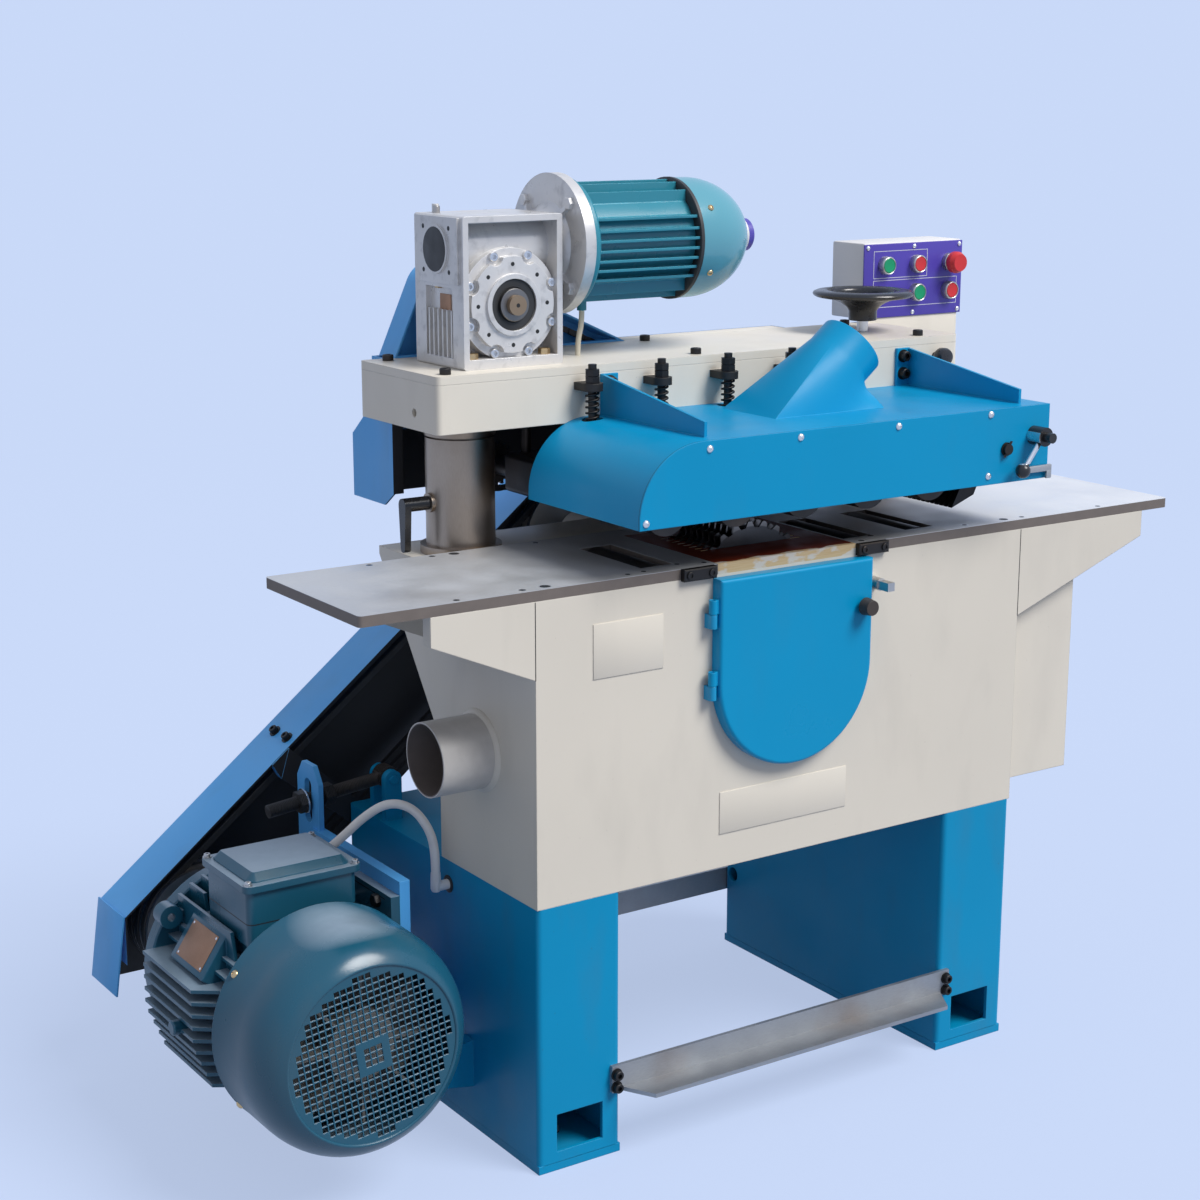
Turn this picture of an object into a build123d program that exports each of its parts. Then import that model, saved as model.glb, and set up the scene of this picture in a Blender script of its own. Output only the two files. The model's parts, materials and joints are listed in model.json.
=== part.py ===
from build123d import *
import os
from math import atan2, cos, hypot, pi, radians, sin, sqrt, tan

# Fits, gaps and sheet thickness
running_gap = 0.08
moving_gap = 0.4
seat_gap = 0.3
sheet = 3.0
bend_radius = 8.0

# Stand
foot_height = 12.0
foot_radius = 25.0
foot_spacing = 400.0
anchor_radius = 6.5
spigot_radius = 11.0
pedestal_pitch = 731.0
pedestal_width = 135.0
pedestal_depth = 550.0
pedestal_height = 378.0
pedestal_wall = 6.0
hand_hole_width = 76.0
hand_hole_height = 56.0
hand_hole_sill = 16.0
brace_leg = 40.0
brace_foot = 52.0
brace_thickness = 6.0
brace_overlap = 17.0
brace_height = 83.0
cable_hole_radius = 12.5
cable_hole_inset = 22.0
cable_hole_rise = 117.0

# Bed and table
bed_depth = 260.0
bed_height = 428.0
bed_wall = 8.0
bed_skirt = 178.0
shelf_depth = 430.0
shelf_thickness = 12.0
shelf_reach = 27.0
web_inset = 211.0
web_thickness = 12.0
table_length = 1440.0
table_centre = 30.0
table_depth = 270.0
table_thickness = 15.0
table_corner = 6.0
wing_thickness = 20.0
wing_tip = 40.0
left_wing_reach = 156.0
left_wing_drop = 107.0
right_wing_reach = 261.0
right_wing_drop = 135.0
end_box_reach = 137.0
end_box_height = 385.0
dust_pipe_radius = 52.5
dust_pipe_reach = 109.0
dust_pipe_inset = 150.0
dust_pipe_rise = 188.0
insert_centre = -14.5
insert_width = 246.0
insert_depth = 230.0
clamp_xs = (-172.5, 135.5)
clamp_length = 55.0
clamp_depth = 10.0
clamp_height = 17.0
roller_slot_width = 54.0
table_roller_radius = 27.0
table_roller_length = 146.0
table_roller_rise = 0.5
table_stub_radius = 7.0
roller_lug_thickness = 10.0
roller_lug_width = 36.0
table_roller_front = 39.0

# Door
door_centre = -10.0
door_width = 272.0
door_depth = 20.0
door_round = 5.0
door_drop = 284.0
door_top_gap = 4.0
door_overlap = 20.0
hinge_gap = 2.0
hinge_radius = 6.0
hinge_pin_radius = 3.5
knuckle_height = 20.0
hinge_drops = (48.0, 150.0)
door_knob_radius = 13.0
door_knob_inset = 19.0
door_knob_drop = 68.0
adjust_shaft_radius = 9.0
adjust_shaft_square = 12.5
adjust_shaft_reach = 44.0
adjust_shaft_x = 139.0
adjust_shaft_drop = 60.0
adjust_boss = 3.0

# Saw arbor
arbor_x = -18.0
arbor_drop = 67.0
arbor_radius = 20.0
housing_radius = 48.0
housing_back = 250.0
blade_radius = 100.0
blade_count = 8
blade_pitch = 14.0
blade_thickness = 3.2
blade_teeth = 24
tooth_depth = 9.0
blade_inset = 82.0
collar_radius = 33.0
arbor_pulley_radius = 80.0
motor_pulley_radius = 88.0
pulley_front = 285.0
pulley_length = 80.0
belt_count = 3
belt_pitch = 25.0
belt_width = 13.0
belt_height = 11.0
belt_groove_gap = 0.6

# Saw motor and its hinged plate
motor_axis_x = -679.0
motor_axis_z = 240.0
motor_shaft_radius = 19.0
motor_core_radius = 106.0
motor_fin_radius = 123.0
motor_fin_pitch = 18.0
motor_fin_thickness = 4.5
motor_ear_radius = 15.0
nameplate_length = 96.0
nameplate_width = 58.0
nameplate_rise = 20.0
nameplate_y = 40.0
nameplate_tilt = 56.0
motor_front = -112.0
motor_body_length = 262.0
motor_shield_length = 50.0
cowl_radius = 135.0
cowl_length = 165.0
cowl_round = 26.0
grille_radius = 107.0
grille_pitch = 13.5
grille_hole = 9.0
fan_radius = 110.0
fan_blades = 8
terminal_width = 176.0
terminal_length = 150.0
terminal_height = 78.0
lid_flange = 10.0
lid_rise = 12.0
lid_border = 11.0
lid_corner = 14.0
motor_plate_thickness = 16.0
motor_plate_length = 273.0
motor_plate_gap = 6.0
motor_plate_top = 400.0
motor_foot_reach = 132.0
foot_rail = 14.0
foot_web = 9.0
plate_pivot_z = 100.0
pivot_radius = 8.0
pivot_boss_radius = 18.0
arm_thickness = 25.0
rod_y = 190.0
rod_radius = 10.0
rod_length = 197.0
rod_tilt = 6.1
rod_eye_radius = 17.0
rod_pin_radius = 7.0
rod_eye_width = 25.0
rod_lug_rise = 63.0
rod_lug_width = 28.0
rod_nut = 30.0
rod_nut_height = 16.0
slot_plate_thickness = 8.0
slot_plate_width = 70.0
slot_plate_height = 95.0
conduit_radius = 6.5

# Belt guard
guard_front = 278.0
guard_depth = 97.0
guard_rise = 108.0
guard_end = 124.0
guard_skirt = 35.0

# Columns and head
head_centre = 22.0
column_pitch = 744.0
column_y = 60.0
column_height = 167.0
sleeve_radius = 50.0
sleeve_foot_radius = 59.0
sleeve_foot_height = 12.0
post_radius = 42.0
post_collar_radius = 56.0
post_collar_height = 20.0
post_engagement = 160.0
screw_radius = 10.0
screw_bore_radius = 13.0
screw_length = 353.0
nut_boss_radius = 25.0
nut_boss_height = 40.0
head_clearance = 175.0
beam_length = 944.0
beam_front = -55.0
beam_depth = 225.0
beam_height = 68.0
beam_wall = 12.0
top_plate_thickness = 12.0
lever_radius = 10.0
lever_reach = 45.0
lever_drop = 68.0
lever_height = 75.0

# Press units
press_count = 5
roller_pitch = 118.5
press_roller_radius = 36.0
press_roller_length = 158.0
press_axis_rise = 81.0
press_shaft_radius = 15.0
press_roller_front = -262.0
carrier_width = 56.0
carrier_front = -99.0
carrier_back = 112.0
carrier_below = 29.0
carrier_above = 30.0
rod_offset = 25.0
press_rod_radius = 6.0
spring_seat_rise = 71.0
spring_seat_radius = 12.0
lug_width = 30.0
lug_drop = 21.0
lug_thickness = 11.0
press_nut = 19.0
press_nut_height = 9.0
rod_stub = 7.0
guide_pin_radius = 8.0
guide_pin_y = 98.0
guide_pin_length = 96.0
spring_outer_radius = 10.4
spring_wire = 3.4
spring_turns = 8
spring_end_gap = 0.8

# Feed drive
out_x = -306.0
out_rise = 87.0
worm_rise = 76.0
gear_width = 161.0
gear_height = 210.0
gear_depth = 135.0
gear_centre_y = 47.5
gear_corner = 4.0
gear_frame = 9.0
gear_sill = 14.0
window_depth = 40.0
side_post = 30.0
side_depth = 8.0
side_fin = 3.0
side_fin_pitch = 12.5
side_fin_count = 6
side_fin_height = 66.0
cover_flange = 78.0
cover_step = 10.0
cover_radius = 67.0
cover_ring = 43.0
seal_radius = 36.0
cover_pocket = 12.5
cover_screw_circle = 72.0
cover_screws = 8
output_radius = 14.0
worm_radius = 44.0
worm_plate = 58.0
worm_plate_low = 46.0
worm_cap_radius = 34.0
flange_radius = 100.0
flange_thickness = 17.0
flange_neck = 36.0
feed_fin_radius = 86.0
feed_core_radius = 72.0
feed_fin_pitch = 14.0
feed_fin_thickness = 4.0
feed_shield_length = 18.0
feed_body_length = 202.0
feed_cowl_radius = 88.0
feed_cowl_length = 85.0
feed_dome = 33.0
chain_y = 190.0
chain_width = 12.0
chain_thickness = 9.0
chain_gap = 0.5
press_pitch_radius = 39.0
drive_pitch_radius = 26.5
tooth_cut = 5.0
sprocket_teeth = 20
drive_teeth = 13
chain_guard_back = 208.0
chain_guard_front = 160.0
chain_guard_left = -398.0
chain_guard_cover = 48.0
chain_guard_right = 325.0
chain_box_left = -410.0
chain_box_front = 150.0
chain_box_back = 275.0
chain_box_drop = 136.0
chain_box_chamfer = 28.0
cable_radius = 4.0

# Hood, dust outlet and fingers
hood_left = -306.0
hood_right = 426.0
hood_front = -330.0
hood_lift = 73.0
hood_height = 110.0
hood_round = 100.0
gusset_thickness = 5.0
gusset_xs = (-183.0, 389.0)
gusset_back = 58.0
gusset_front = 21.0
gusset_length = 250.0
outlet_left = -5.0
outlet_width = 200.0
outlet_front = -228.0
outlet_depth = 124.0
outlet_radius = 50.0
outlet_length = 54.0
outlet_angle = 40.0
outlet_rise = 64.0
outlet_shift = 60.0
finger_x = 341.0
finger_drop = 60.0
finger_hub = 17.0
finger_belly = 21.0
finger_back = 12.0
finger_knee = 61.0
finger_toe_run = 39.0
finger_toe_drop = 94.0
finger_heel_run = -4.0
finger_heel_drop = 78.0
finger_shaft_radius = 8.0
finger_count = 19
finger_pitch = 10.0
finger_thickness = 8.4
first_finger_y = -257.8
finger_lever_x = 395.0
finger_lever_drop = 44.0
finger_lever_run = 37.0
finger_lever_fall = 47.0
finger_ball = 11.0

# Handwheel
wheel_radius = 70.0
wheel_tube = 10.0
wheel_rise = 55.0
wheel_spokes = 3
hub_rise = 22.0
hub_radius = 19.0

# Control box
panel_left = 470.0
panel_width = 210.0
panel_height = 121.0
panel_rise = 7.0
panel_y = 148.0
panel_thickness = 2.0
bracket_thickness = 4.0
box_depth = 76.0
box_wall = 3.0
button_radius = 10.0
bezel_radius = 13.0
bezel_depth = 10.0
button_travel = 4.0
stop_radius = 18.0
button_columns = (44.0, 112.0, 184.0)
button_rows = (86.0, 39.0)

# Levels and stations worked out from the sizes above
front_y = -pedestal_depth / 2
bed_half = (pedestal_pitch + pedestal_width) / 2
web_y = front_y + web_inset
first_blade_y = front_y + blade_inset
dust_pipe_y = front_y + dust_pipe_inset
pedestal_top = foot_height + pedestal_height
bed_top = pedestal_top + bed_height
dust_pipe_z = pedestal_top + dust_pipe_rise
table_top = bed_top + table_thickness
arbor_z = table_top - arbor_drop
press_z = table_top + press_axis_rise
press_xs = [head_centre + (i - (press_count - 1) / 2) * roller_pitch for i in range(press_count)]
table_roller_xs = [press_xs[0], press_xs[-2], press_xs[-1]]
column_xs = [head_centre - column_pitch / 2, head_centre + column_pitch / 2]
sleeve_top = bed_top + column_height
beam_bottom = table_top + head_clearance
beam_top = beam_bottom + beam_height
beam_back = beam_front + beam_depth
head_top = beam_top + top_plate_thickness
beam_left = head_centre - beam_length / 2
beam_right = head_centre + beam_length / 2
rod_line = beam_front - rod_offset
lug_bottom = beam_top - lug_drop
lug_top = lug_bottom + lug_thickness
seat_z = press_z + spring_seat_rise
out_z = head_top + out_rise
worm_z = out_z + worm_rise
gear_front = gear_centre_y - gear_depth / 2
gear_back = gear_centre_y + gear_depth / 2
gear_left = out_x - gear_width / 2
gear_right = out_x + gear_width / 2
gear_top = head_top + gear_height
flange_face = gear_right + flange_neck
hood_bottom = table_top + hood_lift
hood_top = hood_bottom + hood_height
pulley_back = pulley_front + pulley_length
pivot_x = motor_axis_x + motor_foot_reach + motor_plate_thickness / 2
plate_right = pivot_x + motor_plate_thickness / 2
cowl_back = motor_front + 8.0
plate_front = cowl_back + motor_plate_gap
plate_back = plate_front + motor_plate_length
rod_eye_x = -bed_half + 20.0
rod_eye_z = pedestal_top + rod_lug_rise
cowl_front = motor_front - cowl_length + 10.0
panel_bottom = head_top + panel_rise
wheel_z = head_top + wheel_rise
finger_z = hood_top - finger_drop
lever_z = bed_top + lever_height


def at_y(y):
    """Upright plane at a station along Y that faces the front, with X and Z as its axes."""
    return Plane(origin=(0, y, 0), x_dir=(1, 0, 0), z_dir=(0, -1, 0))


def block(x, y, z, mode=Mode.ADD):
    """Box between two limits along each axis."""
    with Locations(((x[0] + x[1]) / 2, (y[0] + y[1]) / 2, (z[0] + z[1]) / 2)):
        Box(x[1] - x[0], y[1] - y[0], z[1] - z[0], mode=mode)


def bar(axis, radius, low, high, centre, mode=Mode.ADD, top_radius=None):
    """Round bar, or cone, along an axis between two limits; centre holds the other two coordinates."""
    turn = {"X": (0, 90, 0), "Y": (-90, 0, 0), "Z": (0, 0, 0)}[axis]
    middle = (low + high) / 2
    first, second = centre
    place = {"X": (middle, first, second), "Y": (first, middle, second), "Z": (first, second, middle)}
    with Locations(place[axis]):
        if top_radius is None:
            Cylinder(radius, high - low, rotation=turn, mode=mode)
        else:
            Cone(radius, top_radius, high - low, rotation=turn, mode=mode)


def tangent_points(wheels):
    """Ends of the straight runs that wrap circles (x, z, radius) taken counter-clockwise."""
    points = []
    for (x1, z1, r1), (x2, z2, r2) in zip(wheels, wheels[1:] + wheels[:1]):
        span = hypot(x2 - x1, z2 - z1)
        ux, uz = (x2 - x1) / span, (z2 - z1) / span
        along = (r1 - r2) / span
        across = sqrt(1 - along**2)
        nx, nz = along * ux + across * uz, along * uz - across * ux
        for x, z, r in ((x1, z1, r1), (x2, z2, r2)):
            point = (x + r * nx, z + r * nz)
            if not points or hypot(point[0] - points[-1][0], point[1] - points[-1][1]) > 1e-6:
                points.append(point)
    return points


def wrapped(wheels, mode=Mode.ADD):
    """Outline wrapped tightly round the wheels, drawn into the sketch at hand."""
    Polygon(*tangent_points(wheels), align=None, mode=mode)
    for x, z, radius in wheels:
        if radius > 0:
            with Locations((x, z)):
                Circle(radius, mode=mode)


def grown(wheels, amount):
    """The same wheels with another radius."""
    return [(x, z, radius + amount) for x, z, radius in wheels]


def toothed(x, z, tip, root, teeth):
    """Saw or sprocket outline with pointed teeth, drawn into the sketch at hand."""
    points = []
    for step in range(teeth):
        start = 2 * pi * step / teeth
        for share, radius in ((0.0, tip), (0.25, tip), (0.45, root), (0.8, root)):
            angle = start + share * 2 * pi / teeth
            points.append((x + radius * cos(angle), z + radius * sin(angle)))
    Polygon(*points, align=None)


def corner_radii(points):
    """Largest even bend at each inner point of a cord's route."""
    radii = []
    for before, corner, after in zip(points, points[1:], points[2:]):
        first = Vector(*corner) - Vector(*before)
        second = Vector(*after) - Vector(*corner)
        turn = radians(first.get_angle(second))
        radii.append(0.45 * min(first.length, second.length) / tan(turn / 2))
    return radii


def save(name, builder):
    """Label a finished piece and write it under its own name."""
    builder.part.label = name
    export_step(builder.part, "parts/" + name + ".step")


os.makedirs("parts", exist_ok=True)

# Two sheet pedestals: rod lugs on top of the left one, hinge arms for the motor on its side
with BuildPart() as pedestals:
    for side in (-1, 1):
        centre_x = side * pedestal_pitch / 2
        with BuildSketch(Plane.XY.offset(foot_height)):
            with Locations((centre_x, 0)):
                RectangleRounded(pedestal_width, pedestal_depth, bend_radius)
        extrude(amount=pedestal_height)
        with BuildSketch(Plane.XY.offset(foot_height + pedestal_wall)):
            with Locations((centre_x, 0)):
                Rectangle(pedestal_width - 2 * pedestal_wall, pedestal_depth - 2 * pedestal_wall)
        extrude(amount=pedestal_height - 2 * pedestal_wall, mode=Mode.SUBTRACT)
        floor_hole = foot_spacing / 2 - 2 * foot_radius
        block((centre_x - foot_radius, centre_x + foot_radius), (-floor_hole, floor_hole),
              (foot_height, foot_height + pedestal_wall), Mode.SUBTRACT)
        sill = foot_height + hand_hole_sill
        block((centre_x - hand_hole_width / 2, centre_x + hand_hole_width / 2),
              (front_y, front_y + pedestal_wall), (sill, sill + hand_hole_height), Mode.SUBTRACT)
        for foot_y in (-foot_spacing / 2, foot_spacing / 2):
            bar("Z", spigot_radius + seat_gap, foot_height, foot_height + pedestal_wall,
                (centre_x, foot_y), Mode.SUBTRACT)
    bar("X", cable_hole_radius, (pedestal_pitch - pedestal_width) / 2,
        (pedestal_pitch - pedestal_width) / 2 + pedestal_wall,
        (pedestal_depth / 2 - cable_hole_inset, foot_height + cable_hole_rise), Mode.SUBTRACT)
    lug_gap = rod_eye_width / 2 + moving_gap
    for lug_front in (rod_y - lug_gap - 12.0, rod_y + lug_gap):
        with BuildSketch(at_y(lug_front + 12.0)):
            with Locations((rod_eye_x, (pedestal_top + rod_eye_z) / 2)):
                Rectangle(rod_lug_width, rod_eye_z - pedestal_top)
            with Locations((rod_eye_x, rod_eye_z)):
                Circle(rod_lug_width / 2)
        extrude(amount=12.0)
    bar("Y", rod_pin_radius, rod_y - lug_gap - 16.0, rod_y + lug_gap + 16.0, (rod_eye_x, rod_eye_z))
    for arm_front in (plate_front, plate_back - arm_thickness):
        with BuildSketch(at_y(arm_front + arm_thickness)):
            Polygon((-bed_half, plate_pivot_z - 2 * pivot_boss_radius),
                    (-bed_half, plate_pivot_z + 2 * pivot_boss_radius),
                    (pivot_x, plate_pivot_z + pivot_boss_radius),
                    (pivot_x, plate_pivot_z - pivot_boss_radius), align=None)
            with Locations((pivot_x, plate_pivot_z)):
                Circle(pivot_boss_radius)
        extrude(amount=arm_thickness)
    bar("Y", pivot_radius, plate_front - 6.0, plate_back + 6.0, (pivot_x, plate_pivot_z))
save("pedestals", pedestals)

# Floor pads with a spigot in the pedestal floor and a hole for the anchor bolt
with BuildPart() as foot_pads:
    for side in (-1, 1):
        for foot_y in (-foot_spacing / 2, foot_spacing / 2):
            place = (side * pedestal_pitch / 2, foot_y)
            bar("Z", foot_radius, 0, foot_height, place, top_radius=foot_radius - 4.0)
            bar("Z", spigot_radius, foot_height, foot_height + pedestal_wall, place)
            bar("Z", anchor_radius, 0, foot_height + pedestal_wall, place, Mode.SUBTRACT)
save("foot_pads", foot_pads)

# Front angle brace and rear tie bar, bolted on the pedestals' faces
brace_half = (pedestal_pitch - pedestal_width) / 2 + brace_overlap
brace_bottom = foot_height + brace_height
with BuildPart() as cross_braces:
    block((-brace_half, brace_half), (front_y - brace_thickness, front_y),
          (brace_bottom, brace_bottom + brace_leg))
    with BuildSketch(Plane.XY.offset(brace_bottom)):
        brace_inner = front_y - brace_thickness
        brace_outer = front_y - brace_foot
        inner_half = (pedestal_pitch - pedestal_width) / 2
        Polygon((-inner_half, brace_inner), (inner_half, brace_inner),
                (inner_half - brace_foot / 2, brace_outer), (-inner_half + brace_foot / 2, brace_outer),
                align=None)
    extrude(amount=brace_thickness)
    block((-brace_half, brace_half), (-front_y, brace_thickness - front_y),
          (brace_bottom, brace_bottom + brace_leg))
save("cross_braces", cross_braces)

# Bed: flared box with a web inside, wings under the table, end box, dust pipe and hinge knuckles
bed_outline = [
    (front_y, pedestal_top),
    (front_y + bed_depth, pedestal_top),
    (front_y + bed_depth, pedestal_top + bed_skirt),
    (front_y + shelf_depth, bed_top - shelf_thickness),
    (front_y + shelf_depth, bed_top),
    (front_y, bed_top),
]
door_top = bed_top - door_top_gap
door_radius = door_width / 2
door_arc_z = door_top - door_drop + door_radius
hinge_x = door_centre - door_radius - hinge_radius - hinge_gap
hinge_y = front_y - moving_gap - door_depth / 2 - 2.0
hinge_zs = [door_top - drop for drop in hinge_drops]
adjust_z = table_top - adjust_shaft_drop
left_wing = [
    (-bed_half, bed_top), (-bed_half - left_wing_reach, bed_top),
    (-bed_half - left_wing_reach, bed_top - wing_tip), (-bed_half, bed_top - left_wing_drop),
]
right_wing = [
    (bed_half, bed_top), (bed_half + right_wing_reach, bed_top),
    (bed_half + right_wing_reach, bed_top - wing_tip), (bed_half, bed_top - right_wing_drop),
]
opening_back = web_y - web_thickness / 2
with BuildPart() as bed_body:
    with BuildSketch(Plane.YZ.offset(-bed_half)):
        Polygon(*bed_outline, align=None)
    extrude(amount=2 * bed_half)
    with BuildSketch(Plane.YZ.offset(bed_wall - bed_half)):
        Polygon(*bed_outline, align=None)
        offset(amount=-bed_wall, kind=Kind.INTERSECTION)
    extrude(amount=2 * (bed_half - bed_wall), mode=Mode.SUBTRACT)
    block((bed_wall - bed_half, bed_half - bed_wall),
          (opening_back, opening_back + web_thickness), (pedestal_top + bed_wall, bed_top - bed_wall))
    block((4 * bed_wall - bed_half, bed_half - 4 * bed_wall), (front_y + bed_wall, opening_back),
          (bed_top - bed_wall, bed_top), Mode.SUBTRACT)
    block((-inner_half, inner_half), (opening_back + 2 * web_thickness, front_y + bed_depth - bed_wall),
          (pedestal_top, pedestal_top + bed_wall), Mode.SUBTRACT)
    block((bed_half, bed_half + shelf_reach),
          (front_y + table_depth, front_y + shelf_depth), (bed_top - shelf_thickness, bed_top))
    for wing_front in (front_y, front_y + table_depth - 2 * wing_thickness):
        with BuildSketch(at_y(wing_front + wing_thickness)):
            Polygon(*left_wing, align=None)
            Polygon(*right_wing, align=None)
        extrude(amount=wing_thickness)
    box_bottom = pedestal_top + 25.0
    box_back = front_y + bed_depth
    block((bed_half, bed_half + end_box_reach), (front_y + wing_thickness, box_back),
          (box_bottom, box_bottom + end_box_height))
    block((bed_half, bed_half + end_box_reach - sheet), (front_y + wing_thickness + sheet, box_back - sheet),
          (box_bottom + sheet, box_bottom + end_box_height), Mode.SUBTRACT)
    bar("X", dust_pipe_radius, -bed_half - dust_pipe_reach, -bed_half, (dust_pipe_y, dust_pipe_z))
    bar("X", dust_pipe_radius - sheet, -bed_half - dust_pipe_reach, bed_wall - bed_half,
        (dust_pipe_y, dust_pipe_z), Mode.SUBTRACT)
    nut_bottom = bed_top - nut_boss_height
    bar("Z", nut_boss_radius, nut_bottom, bed_top - bed_wall, (column_xs[1], column_y))
    bar("Z", screw_radius + running_gap, nut_bottom, bed_top, (column_xs[1], column_y), Mode.SUBTRACT)
    bar("Y", housing_radius + running_gap, opening_back, front_y + shelf_depth,
        (arbor_x, arbor_z), Mode.SUBTRACT)
    with BuildSketch(at_y(front_y + bed_wall)):
        with Locations((door_centre, door_arc_z)):
            Circle(door_radius - door_overlap)
        with Locations((door_centre, (door_arc_z + door_top - door_overlap) / 2)):
            Rectangle(door_width - 2 * door_overlap, door_top - door_overlap - door_arc_z)
    extrude(amount=bed_wall, mode=Mode.SUBTRACT)
    for hinge_z in hinge_zs:
        bar("Z", hinge_radius, hinge_z - knuckle_height, hinge_z, (hinge_x, hinge_y))
        block((hinge_x - hinge_radius, hinge_x + hinge_radius), (hinge_y, front_y),
              (hinge_z - knuckle_height, hinge_z))
        bar("Z", hinge_pin_radius, hinge_z, hinge_z + knuckle_height - 3.0, (hinge_x, hinge_y))
    bar("Y", adjust_shaft_radius + adjust_boss, front_y - 4.0, front_y, (adjust_shaft_x, adjust_z))
    bar("Y", adjust_shaft_radius + running_gap, front_y - 4.0, front_y + bed_wall,
        (adjust_shaft_x, adjust_z), Mode.SUBTRACT)
save("bed_body", bed_body)

# Table plate with the insert's notch, roller slots and the lugs that carry the rollers
roller_front = front_y + table_roller_front
roller_back = roller_front + table_roller_length
table_roller_z = table_top + table_roller_rise - table_roller_radius
lug_low = table_roller_z - table_stub_radius - 6.0
with BuildPart() as table_plate:
    with BuildSketch(Plane.XY.offset(bed_top)):
        with Locations((table_centre, front_y + table_depth / 2)):
            RectangleRounded(table_length, table_depth, table_corner)
        with Locations((insert_centre, front_y + insert_depth / 2)):
            Rectangle(insert_width, insert_depth, mode=Mode.SUBTRACT)
        for roller_x in table_roller_xs:
            with Locations((roller_x, (roller_front + roller_back) / 2)):
                Rectangle(roller_slot_width, table_roller_length + 8.0, mode=Mode.SUBTRACT)
    extrude(amount=table_thickness)
    for roller_x in table_roller_xs:
        for lug_front in (roller_front - roller_lug_thickness - 4.0, roller_back + 4.0):
            block((roller_x - roller_lug_width / 2, roller_x + roller_lug_width / 2),
                  (lug_front, lug_front + roller_lug_thickness), (lug_low, bed_top))
            bar("Y", table_stub_radius + running_gap, lug_front, lug_front + roller_lug_thickness,
                (roller_x, table_roller_z), Mode.SUBTRACT)
save("table_plate", table_plate)


def table_roller(roller_x):
    """Idle roller that stands just proud of the table on two stubs."""
    with BuildPart() as roller:
        bar("Y", table_roller_radius, roller_front, roller_back, (roller_x, table_roller_z))
        bar("Y", table_stub_radius, roller_front - roller_lug_thickness - 4.0,
            roller_back + roller_lug_thickness + 4.0, (roller_x, table_roller_z))
    return roller


for number, roller_x in enumerate(table_roller_xs, 1):
    save("table_roller_" + str(number), table_roller(roller_x))

# Wooden insert with a kerf for each blade
blade_ys = [first_blade_y + i * blade_pitch for i in range(blade_count)]
kerf_half = sqrt(blade_radius**2 - (table_top - table_thickness - arbor_z) ** 2) + 4.0
board_width = insert_width - 2 * seat_gap
with BuildPart() as insert_board:
    with BuildSketch(Plane.XY.offset(bed_top)):
        with Locations((insert_centre, front_y + (insert_depth - seat_gap) / 2)):
            Rectangle(board_width, insert_depth - seat_gap)
        for blade_y in blade_ys:
            with Locations((arbor_x, blade_y)):
                Rectangle(2 * kerf_half, blade_thickness + 4 * moving_gap, mode=Mode.SUBTRACT)
    extrude(amount=table_thickness)
save("insert_board", insert_board)

# Clamp blocks beside the ends of the insert
with BuildPart() as clamp_blocks:
    for middle in clamp_xs:
        block((middle - clamp_length / 2, middle + clamp_length / 2), (front_y - clamp_depth, front_y),
              (table_top - clamp_height, table_top))
    chamfer(clamp_blocks.edges().group_by(Axis.Y)[0], 1.5)
save("clamp_blocks", clamp_blocks)

# Door pan with rolled front edge, knuckles that lift off the pins, and a knob
with BuildPart() as door:
    door_back = front_y - moving_gap
    with BuildSketch(at_y(door_back)):
        with Locations((door_centre, door_arc_z)):
            Circle(door_radius)
        with Locations((door_centre, (door_arc_z + door_top) / 2)):
            Rectangle(door_width, door_top - door_arc_z)
    extrude(amount=door_depth)
    fillet(door.faces().sort_by(Axis.Y)[0].edges(), door_round)
    with BuildSketch(at_y(door_back)):
        with Locations((door_centre, door_arc_z)):
            Circle(door_radius - sheet)
        with Locations((door_centre, (door_arc_z + door_top - sheet) / 2)):
            Rectangle(door_width - 2 * sheet, door_top - sheet - door_arc_z)
    extrude(amount=door_depth - sheet, mode=Mode.SUBTRACT)
    for hinge_z in hinge_zs:
        low = hinge_z + moving_gap
        bar("Z", hinge_radius, low, low + knuckle_height, (hinge_x, hinge_y))
        block((hinge_x, door_centre - door_radius + sheet), (hinge_y - sheet, hinge_y + sheet),
              (low, low + knuckle_height))
        bar("Z", hinge_pin_radius + running_gap, low, low + knuckle_height, (hinge_x, hinge_y),
            Mode.SUBTRACT)
    knob_place = (door_centre + door_radius - door_knob_inset, door_top - door_knob_drop)
    door_face = door_back - door_depth
    bar("Y", door_knob_radius / 2, door_face - 6.0, door_face, knob_place)
    bar("Y", door_knob_radius - 2.0, door_face - 22.0, door_face - 6.0, knob_place,
        top_radius=door_knob_radius)
save("door", door)

# Square-ended adjusting shaft beside the door
with BuildPart() as adjust_shaft:
    bar("Y", adjust_shaft_radius, front_y - adjust_shaft_reach / 2, front_y + bed_wall + 4.0,
        (adjust_shaft_x, adjust_z))
    block((adjust_shaft_x - adjust_shaft_square / 2, adjust_shaft_x + adjust_shaft_square / 2),
          (front_y - adjust_shaft_reach, front_y - adjust_shaft_reach / 2),
          (adjust_z - adjust_shaft_square / 2, adjust_z + adjust_shaft_square / 2))
save("adjust_shaft", adjust_shaft)

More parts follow.
